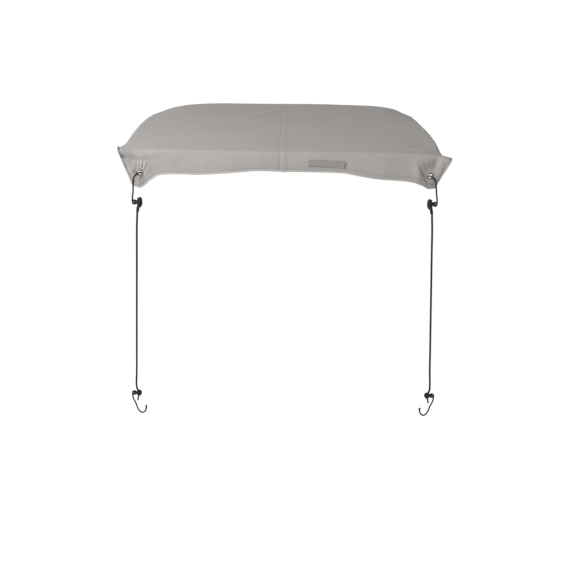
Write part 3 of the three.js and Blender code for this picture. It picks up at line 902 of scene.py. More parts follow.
grids = {name: grid_of(name) for name in sides}
row_count = grids["front"][0].shape[1]
station_counts = [len(grids[name][0]) - 1 for name in sides]
first_stations = dict(zip(sides, np.concatenate([[0], np.cumsum(station_counts)[:-1]])))
station_count = sum(station_counts)
print("stations:", station_counts, "rows:", row_count)

# %% [markdown]
# The four grids meet at the corners, so each gives all but its last station. Normals come from the
# neighbours of each point, and the outer face of the cloth lies along them.

# %% Joined grid and its normals
base = np.concatenate([grids[name][0][:-1] for name in sides])
above_hem = np.concatenate([grids[name][2][:-1] for name in sides])
uv_table = np.concatenate([grids[name][1][:-1] for name in sides])
corner_uv = np.stack([grids[name][1][-1] for name in sides])
side_of_station = np.repeat(np.arange(4), station_counts)


def normals_of(points):
    """The outward direction at each point of the closed grid."""
    round_it = np.roll(points, -1, axis=0) - np.roll(points, 1, axis=0)
    downwards = np.gradient(points, axis=1)
    normal = np.cross(downwards, round_it)
    return normal / np.linalg.norm(normal, axis=2)[..., None]


normals = normals_of(base)
hem_heights, hem_stand = np.array(HEM_SECTION).T
stand = np.where(above_hem <= HEM_WIDTH, np.interp(above_hem, hem_heights, hem_stand), 0)
outer = base + normals * (CLOTH + stand)[..., None]
print("outer face:", outer.reshape(-1, 3).min(0).round(1), outer.reshape(-1, 3).max(0).round(1))

# %% [markdown]
# The hem gets painted light and shade. Its folded edge is painted pale as painted light, and painted shade
# darkens its sewn lines and the step at its top. One number a point, below 0 for painted light and above 0
# for painted shade, tells the cloth's material of that.

# %% Painted light and shade of the hem
# Below 0 is painted light on the folded edge, above 0 is painted shade in the sewn lines and at the top step.
EDGE_PAINTED_LIGHT, EDGE_LINE_PAINTED_SHADE, HEM_LINE_PAINTED_SHADE, HEM_TOP_PAINTED_SHADE = -0.4, 0.6, 0.3, 0.5
painted_rows = [
    above_hem < EDGE_LINE,
    above_hem == EDGE_LINE,
    above_hem == HEM_LINE,
    above_hem == HEM_WIDTH,
]
hem_painted_shading = np.select(painted_rows, [EDGE_PAINTED_LIGHT, EDGE_LINE_PAINTED_SHADE, HEM_LINE_PAINTED_SHADE, HEM_TOP_PAINTED_SHADE], 0)
print("toned points:", np.count_nonzero(hem_painted_shading))

# %% [markdown]
# ## Sewn corners
# Each corner is a seam from the ear's tip to the hem. The seam's edge is a firm narrow ridge, the stitches
# beside it draw the cloth in, and short puckers run off them. All of that is a matter of how far a point is
# from the corner's line and how far down it is, so it is a sum of waves that fade away from the seam.

# %% Corner seams
# Heights and widths of the ridge on the corner's edge, the line drawn in by the stitches, and the puckers.
SEAM_RIDGE, RIDGE_WAVE, RIDGE_WIDTH = 0.9, 0.45, 2.2
SEAM_DRAW, DRAW_WAVE, DRAW_WIDTH = 0.7, 0.3, 1.6
PUCKER_HEIGHT, PUCKER_WIDTH, PUCKER_PITCH = 0.7, 4.5, 7.5
SEAM_LINE = 5.0  # from the corner's edge to its stitches
PUCKER_LINE = SEAM_LINE + 3
SEAM_PAINTED_SHADE = 0.55
SEWN_REACH = 9  # from a corner's edge, where the cloth is stiff with sewing
CORNER_PHASE, SIDE_PHASE = 2.1, 1.3  # so that no two seams pucker alike
CORNER_STATIONS = 40  # on either side of a corner, that its seam reaches
shift = np.zeros(base.shape[:2])
# This array gathers painted shade for the cloth's colour, and painted light where it is below 0.
painted_shading = hem_painted_shading.copy()
sewn = np.zeros(base.shape[:2])
turn_first = FLAT_RINGS + TOP_ROWS
for number, corner in enumerate(first_stations.values()):
    edge = outer[corner, turn_first:]
    down_seam = np.concatenate([[0], np.cumsum(np.linalg.norm(np.diff(edge, axis=0), axis=1))])
    for offset in range(-CORNER_STATIONS, CORNER_STATIONS):
        station = (corner + offset) % station_count
        away = np.linalg.norm(outer[station, turn_first:] - edge, axis=1)
        phase = CORNER_PHASE * number + (SIDE_PHASE if offset < 0 else 0)
        waves = np.sin(2 * math.pi * down_seam / PUCKER_PITCH + phase)
        ridge = (SEAM_RIDGE + RIDGE_WAVE * waves) * np.exp(-((away / RIDGE_WIDTH) ** 2))
        drawn = np.exp(-(((away - SEAM_LINE) / DRAW_WIDTH) ** 2))
        puckers = PUCKER_HEIGHT * waves * np.exp(-(((away - PUCKER_LINE) / PUCKER_WIDTH) ** 2))
        shift[station, turn_first:] += ridge - SEAM_DRAW * drawn * (0.8 + DRAW_WAVE * waves) + puckers
        # Painted shade along the line that the stitches draw in.
        painted_shading[station, turn_first:] += drawn * (SEAM_PAINTED_SHADE + DRAW_WAVE * waves)
        stiff = np.exp(-((away / SEWN_REACH) ** 2))
        sewn[station, turn_first:] = np.maximum(sewn[station, turn_first:], stiff)
print("points stiff with sewing:", np.count_nonzero(sewn > 0.5))

# %% [markdown]
# An ear's tip is two layers with a small notch between them: the top's edge curls up a little, and the skirt
# ends just below it. The curl lifts the rows down to the middle of the fold, and fades away from the tip.
# The notch is a narrow dip, centred on the tip and shaped like a bell.

# %% Ear tips
ear_curls = {"front_left": 5.5, "front_right": 0.8, "back_right": 1.5, "back_left": 1.5}  # millimetres up
CURL_REACH = 17.0
NOTCH_DEPTH = 3.4
NOTCH_WIDTH = 1.8
NOTCH_REACH = 7.0
NOTCH_DROP = 1  # from the tip down to the middle of the notch
NOTCH_PAINTED_SHADE = 0.9
CURL_ROWS = 4  # past the middle of the fold, over which the curl ends
fold_middle = turn_first + TURN_ROWS // 2
above_fold = np.clip(1 - (np.arange(row_count) - fold_middle) / CURL_ROWS, 0, 1)
curl = np.zeros(base.shape[:2])
for side, corner in zip(sides.values(), first_stations.values()):
    tip = outer[corner, fold_middle]
    away = outer - tip
    flat_away = np.linalg.norm(away[..., :2], axis=2)
    curl += ear_curls[side["corners"][0]] * np.exp(-((flat_away / CURL_REACH) ** 2)) * above_fold
    below = away[..., 2] + NOTCH_DROP
    notch = np.exp(-((flat_away / NOTCH_REACH) ** 2) - (below / NOTCH_WIDTH) ** 2)
    shift -= NOTCH_DEPTH * notch
    # The notch also gets painted shade.
    painted_shading += NOTCH_PAINTED_SHADE * notch
print("highest curl:", curl.max().round(2), "mm")

# %% [markdown]
# The creases of the skirts are laid on in the same way, side by side. Each fades towards its two ends, and
# a narrow valley also takes painted shade.

# %% Creases laid on
CREASE_END = 0.1  # how much of its height a crease keeps at its ends
NARROW = 8  # a wider valley takes no tone
DARKEST = 0.9
FULL_SHADE_DEPTH = 3
for number, name in enumerate(sides):
    mine = side_of_station == number
    across_axis = 0 if name in ("front", "back") else 1
    places = outer[mine][:, turn_first:][..., [across_axis, 2]]
    for line, width, height in creases[name]:
        away, share = near_line(places, line)
        form = np.exp(-((away / width) ** 2)) * (CREASE_END + (1 - CREASE_END) * np.sin(math.pi * share))
        shift[mine, turn_first:] += height * form
        # A narrow valley gets painted shade.
        if height < 0 and width < NARROW:
            painted_shading[mine, turn_first:] += min(DARKEST, -height / FULL_SHADE_DEPTH) * form
print("darkest valley:", painted_shading.max().round(2))

# %% [markdown]
# ## Wrinkles of the top
# The top lies nearly flat, with a few long, shallow wrinkles near the back and beside the centre seam.
# Each is a line on the plan with a width and a height. Over the whole cloth two layers of smooth noise add
# the unevenness that no cloth is without: a broad one that sways and a fine one that ripples.

# %% Top wrinkles
# The columns are: start X and Y, end X and Y, width, height.
wrinkles = [
    (-128, 58, 19, 288, 12, 2.8),
    (-43, 219, 149, 278, 9, 2.3),
    (-84, 352, 136, 325, 8, 2.0),
    (-30, 250, 160, 305, 8, -1.8),
    (-260, 10, -20, 130, 26, -0.9),
    (-330, 180, -120, 300, 20, 1.0),
    (40, 130, 300, 170, 24, -0.8),
    (150, 300, 330, 120, 20, 1.0),
    (-200, -150, 40, -60, 40, -0.7),
    (60, -40, 310, -190, 40, 0.8),
    (-372, -300, -290, -180, 14, -1.2),
    (300, -340, 372, -230, 12, -1.2),
    (290, -300, 380, -372, 10, 1.4),
    (-280, -300, -376, -378, 12, 1.3),
]
TAPER_REACH = 0.38  # of a wrinkle's length, to either side of its middle

plan = outer[..., :2]
for x0, y0, x1, y1, width, height in wrinkles:
    start, way = np.array([x0, y0]), np.array([x1 - x0, y1 - y0])
    long = np.linalg.norm(way)
    way = way / long
    t = (plan - start) @ way / long
    across = (plan - start) @ np.array([-way[1], way[0]])
    taper = np.exp(-(((t - 0.5) / TAPER_REACH) ** 4))
    shift[:, :turn_first] += (height * taper * np.exp(-((across / width) ** 2)))[:, :turn_first]
print("wrinkles:", len(wrinkles))

# %% Uneven cloth
BROAD_SIZE, BROAD_HEIGHT = 130, 1.1
FINE_SIZE, FINE_HEIGHT = 34, 0.28


def noise_grid(points, size, height):
    """Smooth noise at each point of a grid. Each call gives the same values."""
    flat = points.reshape(-1, 3) / size
    values = [noise.noise(Vector(p)) for p in flat]
    return height * np.array(values).reshape(points.shape[:2])


shift += noise_grid(outer, BROAD_SIZE, BROAD_HEIGHT)
shift += noise_grid(outer, FINE_SIZE, FINE_HEIGHT)
print("shift:", shift.min().round(2), "to", shift.max().round(2), "mm")

# %% [markdown]
# ## Places of the eyelets
# An eyelet sits square on the cloth, so the cloth is flat under its flange and ripples a little round it.
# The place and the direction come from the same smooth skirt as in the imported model.

# %% Eyelet places
EYELET_DOWN = 0.62
EYELET_RADIUS = 8.3
HOLE_RADIUS = 6.0
eyelet_shares = {
    "front_left": ("front", 0.038),
    "front_right": ("front", 0.965),
    "back_right": ("back", 0.036),
    "back_left": ("back", 0.964),
}
STEP_ALONG = 0.01
STEP_DOWN = 0.1  # with the one above, how far off the cloth's direction is measured


def eyelet_place(name):
    """The middle of an eyelet, in the cloth's thickness, and the way that it faces."""
    side, at = eyelet_shares[name]
    ats = np.array([at - STEP_ALONG, at, at + STEP_ALONG])
    downs = np.array([EYELET_DOWN - STEP_DOWN, EYELET_DOWN, EYELET_DOWN + STEP_DOWN])
    points = skirt_points(side, ats, downs)
    normal = np.cross(points[1, 2] - points[1, 0], points[2, 1] - points[0, 1])
    normal /= np.linalg.norm(normal)
    return points[1, 1] + normal * CLOTH / 2, normal


eyelet_places = {name: eyelet_place(name) for name in eyelet_shares}
for name, (middle, normal) in eyelet_places.items():
    print(name, "eyelet:", middle.round(1).tolist(), "facing", normal.round(2).tolist())

# %% Cloth flat round the eyelets
NEAR_RADIUS, NEAR_HEIGHT = 22, 14  # the cloth that belongs to an eyelet
FLAT_TO, LEVEL_WIDTH = 17, 7  # the radius where the flat cloth has ended, and how long it takes to
RIPPLES, RIPPLE_HEIGHT, RIPPLE_RADIUS, RIPPLE_WIDTH = 7, 0.35, 12, 2.5
RIM_RADIUS, RIM_WIDTH, RIM_PAINTED_SHADE = 9, 1.2, 0.6  # painted shade beside the flange
STIFF_RADIUS = 12

surface = outer + normals * shift[..., None]
surface[..., 2] += curl
for number, (middle, normal) in enumerate(eyelet_places.values()):
    away = surface - (middle + normal * CLOTH / 2)
    height = away @ normal
    inside_plane = away - height[..., None] * normal
    radius = np.linalg.norm(inside_plane, axis=2)
    near = (np.abs(height) < NEAR_HEIGHT) & (radius < NEAR_RADIUS)
    pull = np.where(near, np.clip((FLAT_TO - radius) / LEVEL_WIDTH, 0, 1), 0)
    pull = pull * pull * (3 - 2 * pull)
    around = np.arctan2(inside_plane[..., 2], inside_plane[..., 0])
    ripple = RIPPLE_HEIGHT * np.cos(RIPPLES * around + number)
    ripple = ripple * np.exp(-(((radius - RIPPLE_RADIUS) / RIPPLE_WIDTH) ** 2))
    surface += np.where(near, ripple - pull * height, 0)[..., None] * normal
    # Painted shade in a ring beside the flange.
    painted_shading += np.where(near, RIM_PAINTED_SHADE * np.exp(-(((radius - RIM_RADIUS) / RIM_WIDTH) ** 2)), 0)
    sewn = np.maximum(sewn, np.where(near, np.exp(-((radius / STIFF_RADIUS) ** 2)), 0))
print("points stiff with sewing or an eyelet:", np.count_nonzero(sewn > 0.5))

# %% [markdown]
# ## The centre seam
# The two halves are joined by a lapped seam: the right half's edge is turned under and sewn down over the
# left one. So the right half stands out in a band of its own, and the left half runs on beneath it. The
# mesh is cut where the band starts and ends, and at its stitches, so that these edges are crisp.

# %% Centre seam
BAND_START, BAND_END = -2.5, 11.5
BAND_LINE = 4.6  # its stitches
TOP_RELIEF = 0.55  # how much of its relief the seam keeps on the top, where it lies pressed flat
SKIRT_Z, TOP_Z = -14, -3  # the heights between which its relief changes
LAP_END = 6.0  # of the left half, under the band
# The columns are: X, and how far the cloth stands out there.
right_section = [
    (BAND_START, 0.3),
    (BAND_START + 0.4, 0.7),
    (BAND_START + 1.4, 0.95),
    (BAND_LINE - 1.5, 1.1),
    (BAND_LINE, 0.6),
    (BAND_LINE + 1.5, 1.1),
    (BAND_END - 3, 0.8),
    (BAND_END + 1, 0.15),
    (BAND_END + 5, 0),
]
left_section = [(-16, 0), (-9, -0.2), (-5, -0.7), (BAND_START - 0.3, -1.1), (LAP_END, -1.2)]
cuts = {
    "left": [x for x, _ in left_section[:-1]],
    "right": [x for x, _ in right_section[1:]],
}


def seam_stand(x, section):
    """How far the cloth of a half stands out at each X."""
    return np.interp(x, *np.array(section).T, left=0 if section is left_section else None)


print("band:", BAND_END - BAND_START, "mm wide, lines cut:", {name: len(xs) for name, xs in cuts.items()})


# %% One sheet from the grid
def grid_faces():
    """Each quad of the grid as four stations and four rows. The last station is joined to the first."""
    stations, rows = np.meshgrid(np.arange(station_count), np.arange(row_count - 1), indexing="ij")
    s, r = stations.ravel(), rows.ravel()
    return np.stack([s, s, s + 1, s + 1], 1), np.stack([r, r + 1, r + 1, r], 1)


face_stations, face_rows = grid_faces()
wrapped = face_stations % station_count
face_points = 1 + wrapped * row_count + face_rows
face_uv = uv_table[wrapped, face_rows]
face_side = side_of_station[face_stations[:, 0]]
past_corner = side_of_station[wrapped] != face_side[:, None]
past_side = np.broadcast_to(face_side[:, None], past_corner.shape)
face_uv[past_corner] = corner_uv[past_side[past_corner], face_rows[past_corner]]
fan = [(0, 1 + s * row_count, 1 + ((s + 1) % station_count) * row_count) for s in range(station_count)]
pole = surface[:, 0].mean(axis=0)
all_points = np.vstack([pole[None], surface.reshape(-1, 3)])
fan_uv = all_points[np.array(fan)][..., :2] * MM
cloth_faces = [*fan, *face_points.tolist()]
cloth_uv = np.concatenate([fan_uv.reshape(-1, 2), face_uv.reshape(-1, 2)])


# %% The sheet and what its points know
HEM_STIFF = 14  # from the hem's edge, where the cloth is stiff with sewing


def write_values(obj, name, values):
    """A number for each point of the mesh, that a material can read."""
    layer = obj.data.attributes.new(name, "FLOAT", "POINT")
    layer.data.foreach_set("value", np.asarray(values, np.float32))


sheet = new_object("sheet", all_points, cloth_faces)
write_uv(sheet, cloth_uv)
stiff = np.maximum(sewn, np.exp(-((above_hem / HEM_STIFF) ** 2)))
# These values carry painted shade, and painted light below 0, to the cloth's material.
write_values(sheet, "painted_shading", np.concatenate([[0], painted_shading.ravel()]))
write_values(sheet, "sewn", np.concatenate([[0], stiff.ravel()]))
write_values(sheet, "hem", np.concatenate([[0], (above_hem <= HEM_WIDTH).ravel()]))
area = sum(polygon.area for polygon in sheet.data.polygons)
print("sheet:", len(all_points), "points,", round(area, 3), "square metres")

# %% [markdown]
# Each half is the sheet cut at the seam by a plane. BMesh's bisect also adds the crisp lines of the band.
# Faces inside an eyelet are deleted, and the hole's edge is made round. All of this is done while the cloth
# is still one layer, because a cut through two layers would have to be closed again.


# %% Holes for the eyelets
HOLE_INSET = 0.4  # a face is cut where its middle is this far inside the hole
HOLE_EDGE = 3  # past the hole, where the edge that is left lies
HOLE_DEPTH = 6  # to either side of the cloth


def open_hole(mesh, middle, normal):
    """Deletes the faces inside one eyelet and rounds the edge that is left."""
    centre, facing = Vector(middle * MM), Vector(normal)

    def offset(point):
        """The way from the eyelet's middle in its plane, and the distance out of it."""
        away = point - centre
        return away - facing * away.dot(facing), abs(away.dot(facing))

    doomed = []
    for face in mesh.faces:
        flat, depth = offset(face.calc_center_median())
        if flat.length < (HOLE_RADIUS - HOLE_INSET) * MM and depth < HOLE_DEPTH * MM:
            doomed.append(face)
    bmesh.ops.delete(mesh, geom=doomed, context="FACES")
    for vertex in mesh.verts:
        flat, depth = offset(vertex.co)
        if vertex.is_boundary and flat.length < (HOLE_RADIUS + HOLE_EDGE) * MM and depth < HOLE_DEPTH * MM:
            vertex.co += flat.normalized() * (HOLE_RADIUS * MM - flat.length)
    return len(doomed)


# %% Halves of the cover
CUT_MERGE = 1e-6  # metres, within which a cut runs through a point that is there


def cut(mesh, x, facing, **options):
    """Cuts all of a mesh by a plane across X, given in millimetres."""
    everything = mesh.verts[:] + mesh.edges[:] + mesh.faces[:]
    bmesh.ops.bisect_plane(mesh, geom=everything, plane_co=(x * MM, 0, 0), plane_no=facing, **options)


def cover_half(name, keep_left):
    """One half of the sheet, cut at the seam, with its band or lap and its holes."""
    half = sheet.copy()
    half.data = sheet.data.copy()
    half.name = half.data.name = name
    bpy.context.scene.collection.objects.link(half)
    section = left_section if keep_left else right_section
    mesh = bmesh.new()
    mesh.from_mesh(half.data)
    if keep_left:
        cut(mesh, LAP_END, (1, 0, 0), clear_outer=True)
    else:
        cut(mesh, BAND_START, (-1, 0, 0), clear_outer=True)
    for x in cuts["left" if keep_left else "right"]:
        cut(mesh, x, (1, 0, 0), dist=CUT_MERGE)
    mesh.normal_update()
    for vertex in mesh.verts:
        x = vertex.co.x / MM
        if section[0][0] <= x <= section[-1][0]:
            relief_here = np.interp(vertex.co.z / MM, [SKIRT_Z, TOP_Z], [1, TOP_RELIEF])
            vertex.co += vertex.normal * float(seam_stand(x, section) * relief_here) * MM
    for middle, normal in eyelet_places.values():
        if (middle[0] < 0) == keep_left:
            print(name, "hole:", open_hole(mesh, middle, normal), "faces cut")
    mesh.to_mesh(half.data)
    mesh.free()
    half.data.shade_smooth()
    return half


halves = {"left": cover_half("cover_left", True), "right": cover_half("cover_right", False)}

# %% [markdown]
# ## Materials of the cloth
# The cover is polyester cloth with a thin coating. Close up it shows a fine plain weave, and from a step
# away a soft, slightly cloudy grey, with painted shade in its creases and along its seams and painted light
# on its hem's edge. The weave follows the UV map, which is the flat cloth in metres, so the threads run on
# over the folds.

# %% Weave
THREAD_PITCH = 0.0009
WAVE_LENGTH = 2 * math.pi / 20  # of Blender's wave texture at a scale of 1


def threads_of(tree, uv, way, pitch):
    """Waves across one way of the cloth, from 0 to 1."""
    settings = {"bands_direction": way}
    return add_node(tree, "ShaderNodeTexWave", settings, Vector=uv, Scale=WAVE_LENGTH / pitch).outputs[1]


def weave_of(tree, uv, pitch):
    """A plain weave: threads that pass over and under each other, from 0 to 1."""
    centred = [maths(tree, "SUBTRACT", threads_of(tree, uv, way, pitch)) for way in ("X", "Y")]
    return maths(tree, "MULTIPLY_ADD", maths(tree, "MULTIPLY", *centred), 2.0)


# %% [markdown]
# A coated cloth is never one flat grey. Its colour here starts between a light and a dark tint by a cloudy
# noise as wide as a hand, takes a fine speckle, and then goes towards a darker colour as painted shade where
# the mesh asks for it, or towards a pale colour as painted light at the hem's edge. The same recipe with
# other colours gives the cloth's coated back.

# %% Cover cloth
CLOTH_COLOUR = srgb(149, 145, 142)
# The darker colours are painted shade for creases, seams and hem lines.
CREASE_SHADE_COLOUR = srgb(92, 88, 85)
BACK_COLOUR = srgb(130, 127, 125)
BACK_SHADE_COLOUR = srgb(96, 93, 91)
CLOUD_SIZE, SPECKLE_SIZE, DENT_SIZE, SCUFF_SIZE, PUCKER_SIZE = 0.16, 0.0016, 0.045, 0.03, 0.006
DENT_DEPTH, PUCKER_DEPTH, THREAD_DEPTH = 0.0011, 0.0007, 0.00004
PAINTED_SHADE_SHARE = 0.6  # how far full painted shade goes towards the shade colour
CLOTH_ROUGHNESS = (0.62, 0.78)


def times(colour, factor):
    """A colour that is so many times as bright."""
    return (*[min(1.0, part * factor) for part in colour[:3]], 1.0)


def cloth_material(name, colour, shade_colour, **plain):
    """Coated cloth of a colour, with painted shade of another colour in its creases and seams, and painted
    light at its hem's edge.
    """
    made, tree, shader = new_material(name, **plain)
    place, uv = object_place(tree), uv_place(tree)
    painted_shading_value = add_node(tree, "ShaderNodeAttribute", {"attribute_name": "painted_shading"}).outputs["Fac"]
    sewn_value = add_node(tree, "ShaderNodeAttribute", {"attribute_name": "sewn"}).outputs["Fac"]
    cloudy = noise_of(tree, place, CLOUD_SIZE, 4.0)
    speckle = noise_of(tree, uv, SPECKLE_SIZE, 2.0)
    light, dark, painted_light_colour = (times(colour, factor) for factor in (1.06, 0.94, 1.6))
    tint = mixed(tree, maths(tree, "MULTIPLY_ADD", cloudy, 0.7), dark, light)
    tint = mixed(tree, maths(tree, "MULTIPLY", speckle, 0.16), tint, dark)
    # Painted shade towards the shade colour, and painted light towards a pale colour where the value is below
    # 0.
    tint = mixed(tree, maths(tree, "MULTIPLY", painted_shading_value, PAINTED_SHADE_SHARE), tint, shade_colour)
    tint = mixed(tree, maths(tree, "MULTIPLY", painted_shading_value, -PAINTED_SHADE_SHARE), tint, painted_light_colour)
    tree.links.new(tint, shader.inputs["Base Color"])
    rough_between(tree, shader, noise_of(tree, place, SCUFF_SIZE, 3.0), *CLOTH_ROUGHNESS)
    pucker = maths(tree, "MULTIPLY", noise_of(tree, uv, PUCKER_SIZE, 1.0), sewn_value)
    dents = noise_of(tree, place, DENT_SIZE, 3.0)
    threads = weave_of(tree, uv, THREAD_PITCH)
    relief(tree, shader, [(dents, DENT_DEPTH), (pucker, PUCKER_DEPTH), (threads, THREAD_DEPTH)])
    print(name, "material:", len(tree.nodes), "nodes")
    return made


outer_finish = {"Specular_IOR_Level": 0.3, "Sheen_Weight": 0.06, "Sheen_Roughness": 0.5}
cover_cloth = cloth_material("coated cloth", CLOTH_COLOUR, CREASE_SHADE_COLOUR, **outer_finish)
cover_backing = cloth_material("coated back", BACK_COLOUR, BACK_SHADE_COLOUR, Specular_IOR_Level=0.4)

# %% [markdown]
# The halves are still sheets without a thickness. Solidify grows them inwards, so that the outer face stays
# where it is. A vertex group makes the hem thicker, as it is two layers there, and an offset of one material
# slot gives the inner side the coated back.

# %% Cloth finished
HEM_THICKNESS = 1.8
CLOTH_SHARP = 62  # degrees, past which an edge of the cloth is shaded sharp

half_nodes = {
    "left": ("left_panel", "back_left_patch"),
    "right": ("right_panel", "back_right_patch"),
}
for side_name, half in halves.items():
    hem = half.vertex_groups.new(name="hem")
    in_hem = [i for i, item in enumerate(half.data.attributes["hem"].data) if item.value > 0.5]
    hem.add(in_hem, 1.0, "REPLACE")
    half.data.attributes.remove(half.data.attributes["hem"])
    half.data.materials.append(cover_cloth)
    half.data.materials.append(cover_backing)
    solid = half.modifiers.new("thickness", "SOLIDIFY")
    solid.thickness = HEM_THICKNESS * MM
    solid.offset = -1
    solid.vertex_group = "hem"
    solid.thickness_vertex_group = THICKNESS / HEM_THICKNESS
    solid.material_offset = 1
    solid.material_offset_rim = 0
    baked(half)
    finish_piece(half, None, half_nodes[side_name], sharp=CLOTH_SHARP)
bpy.data.objects.remove(sheet)

# %% [markdown]
# ## Stitches
# A row of stitches repeats one small form along a line, which is what Geometry Nodes are for. The tree takes
# a line whose points know the cloth's outward direction, spaces points along it, turns a small capsule to
# lie along the line and flat on the cloth, and realizes the copies into one mesh.

# %% Stitch tree
STITCH_PITCH = 4.2
STITCH_LENGTH = 3.3
STITCH_WIDTH = 0.85
SHORTEST, LONGEST = 0.88, 1.08  # the random size of a stitch


def stitch_tree():
    """The tree that lays stitches along a line, and its input sockets by name."""
    tree = bpy.data.node_groups.new("row of stitches", "GeometryNodeTree")
    inputs = {
        "Line": "NodeSocketGeometry",
        "Pitch": "NodeSocketFloat",
        "Length": "NodeSocketFloat",
        "Width": "NodeSocketFloat",
        "Seed": "NodeSocketInt",
        "Thread": "NodeSocketMaterial",
    }
    sockets = {}
    for name, kind in inputs.items():
        sockets[name] = tree.interface.new_socket(name, in_out="INPUT", socket_type=kind)
    tree.interface.new_socket("Stitches", in_out="OUTPUT", socket_type="NodeSocketGeometry")
    given = add_node(tree, "NodeGroupInput").outputs
    line = add_node(tree, "GeometryNodeMeshToCurve", Mesh=given["Line"]).outputs[0]
    by_length = {"mode": "LENGTH"}
    spaced = add_node(tree, "GeometryNodeResampleCurve", by_length, Curve=line, Length=given["Pitch"])
    tangent = add_node(tree, "GeometryNodeInputTangent").outputs[0]
    vectors = {"data_type": "FLOAT_VECTOR"}
    outward = add_node(tree, "GeometryNodeInputNamedAttribute", vectors, Name="outward").outputs["Attribute"]
    align = "FunctionNodeAlignRotationToVector"
    lengthwise = add_node(tree, align, {"axis": "X"}, Vector=tangent).outputs[0]
    face_out = {"axis": "Z", "pivot_axis": "X"}
    turned = add_node(tree, align, face_out, Rotation=lengthwise, Vector=outward).outputs[0]
    capsule = add_node(tree, "GeometryNodeMeshUVSphere", Segments=6, Rings=5, Radius=0.5).outputs[0]
    length, width = given["Length"], given["Width"]
    shape = add_node(tree, "ShaderNodeCombineXYZ", X=length, Y=width, Z=width).outputs[0]
    stitch = add_node(tree, "GeometryNodeTransform", Geometry=capsule, Scale=shape).outputs[0]
    numbers = {"data_type": "FLOAT"}
    varied = add_node(tree, "FunctionNodeRandomValue", numbers, _2=SHORTEST, _3=LONGEST, Seed=given["Seed"])
    copies = add_node(
        tree,
        "GeometryNodeInstanceOnPoints",
        Points=spaced.outputs[0],
        Instance=stitch,
        Rotation=turned,
        Scale=varied.outputs[1],
    ).outputs[0]
    real = add_node(tree, "GeometryNodeRealizeInstances", Geometry=copies).outputs[0]
    smooth = add_node(tree, "GeometryNodeSetShadeSmooth", Geometry=real).outputs[0]
    dressed = add_node(tree, "GeometryNodeSetMaterial", Geometry=smooth, Material=given["Thread"]).outputs[0]
    add_node(tree, "NodeGroupOutput", Stitches=dressed)
    return tree, sockets


stitches_tree, stitch_sockets = stitch_tree()
print("stitch tree:", len(stitches_tree.nodes), "nodes")

# %% [markdown]
# The thread is polyester in the cloth's own grey, a little smoother than the cloth. It is too thin for its
# twist to show, so a slight change of tone and a fine bump are enough.

# %% Thread
THREAD_DARK, THREAD_LIGHT = srgb(142, 138, 135), srgb(160, 156, 153)
thread, tree, shader = new_material("polyester thread", Roughness=0.55, Sheen_Weight=0.15)
place = object_place(tree)
tint_between(tree, shader, noise_of(tree, place, 0.004, 1.0), THREAD_DARK, THREAD_LIGHT)
relief(tree, shader, [(noise_of(tree, place, 0.0005, 1.0), 0.0001)])
print("thread material:", len(tree.nodes), "nodes")


# %% Rows of stitches
def stitch_row(name, lines, pitch=STITCH_PITCH, length=STITCH_LENGTH, width=STITCH_WIDTH, seed=1):
    """A mesh of stitches along lines, each given as points and outward directions, in millimetres."""
    points, edges, outward = [], [], []
    for line, directions, closed in lines:
        first = len(points)
        points += list(np.asarray(line))
        outward += list(np.asarray(directions))
        edges += [(first + i, first + i + 1) for i in range(len(line) - 1)]
        if closed:
            edges.append((first + len(line) - 1, first))
    mesh = bpy.data.meshes.new(name)
    mesh.from_pydata((np.array(points) * MM).tolist(), edges, [])
    layer = mesh.attributes.new("outward", "FLOAT_VECTOR", "POINT")
    layer.data.foreach_set("vector", np.array(outward, np.float32).ravel())
    row = bpy.data.objects.new(name, mesh)
    bpy.context.scene.collection.objects.link(row)
    nodes = row.modifiers.new("stitches", "NODES")
    nodes.node_group = stitches_tree
    values = {
        "Pitch": pitch * MM,
        "Length": length * MM,
        "Width": width * MM,
        "Seed": seed,
        "Thread": thread,
    }
    for key, value in values.items():
        nodes[stitch_sockets[key].identifier] = value
    baked(row)
    if "outward" in row.data.attributes:
        row.data.attributes.remove(row.data.attributes["outward"])
    return finish_piece(row, thread)


# %% [markdown]
# The hem has two rows, one near its folded edge and one along its top. Each follows a row of the sheet. The
# centre seam has one row, and a corner seam has one on each side. A stitch's middle lies barely above the
# cloth, so that nearly half of it is sunk, as a thread is that was pulled tight.

# %% Hem stitches
STITCH_RISE = 0.1  # of a stitch's middle above the cloth
finished_normals = normals_of(surface)
seam_x = surface[..., 0]
seam_lift = np.where(
    seam_x < BAND_START, seam_stand(seam_x, left_section), np.interp(seam_x, *np.array(right_section).T)
)
seam_lift = np.where((seam_x < left_section[0][0]) | (seam_x > right_section[-1][0]), 0, seam_lift)
hem_rows = {height: row_count - 1 - list(hem_heights).index(height) for height in (EDGE_LINE, HEM_LINE)}
hem_lines = []
for row in hem_rows.values():
    line = surface[:, row] + finished_normals[:, row] * (seam_lift[:, row, None] + STITCH_RISE)
    hem_lines.append((line, finished_normals[:, row], True))
hem_stitches = stitch_row("hem_stitches", hem_lines, seed=3)


# %% Corner stitches
def beside_corner(corner, way):
    """The line of stitches a little to one side of a corner's edge, down to the hem."""
    edge = surface[corner, turn_first:]
    stations = [(corner + way * i) % station_count for i in range(CORNER_STATIONS)]
    line, directions = [], []
    for row in range(2, row_count - turn_first - len(HEM_SECTION)):
        points = surface[stations, turn_first + row]
        away = np.linalg.norm(points - edge[row], axis=1)
        place = np.interp(SEAM_LINE, np.maximum.accumulate(away), np.arange(len(away)))
        low, part = int(place), place - int(place)
        line.append(points[low] * (1 - part) + points[low + 1] * part)
        directions.append(finished_normals[stations[low + 1], turn_first + row])
    return np.array(line), np.array(directions), False


corner_lines = [beside_corner(corner, way) for corner in first_stations.values() for way in (-1, 1)]
corner_stitches = stitch_row("corner_stitches", corner_lines, pitch=3.4, length=2.6, width=0.7, seed=5)


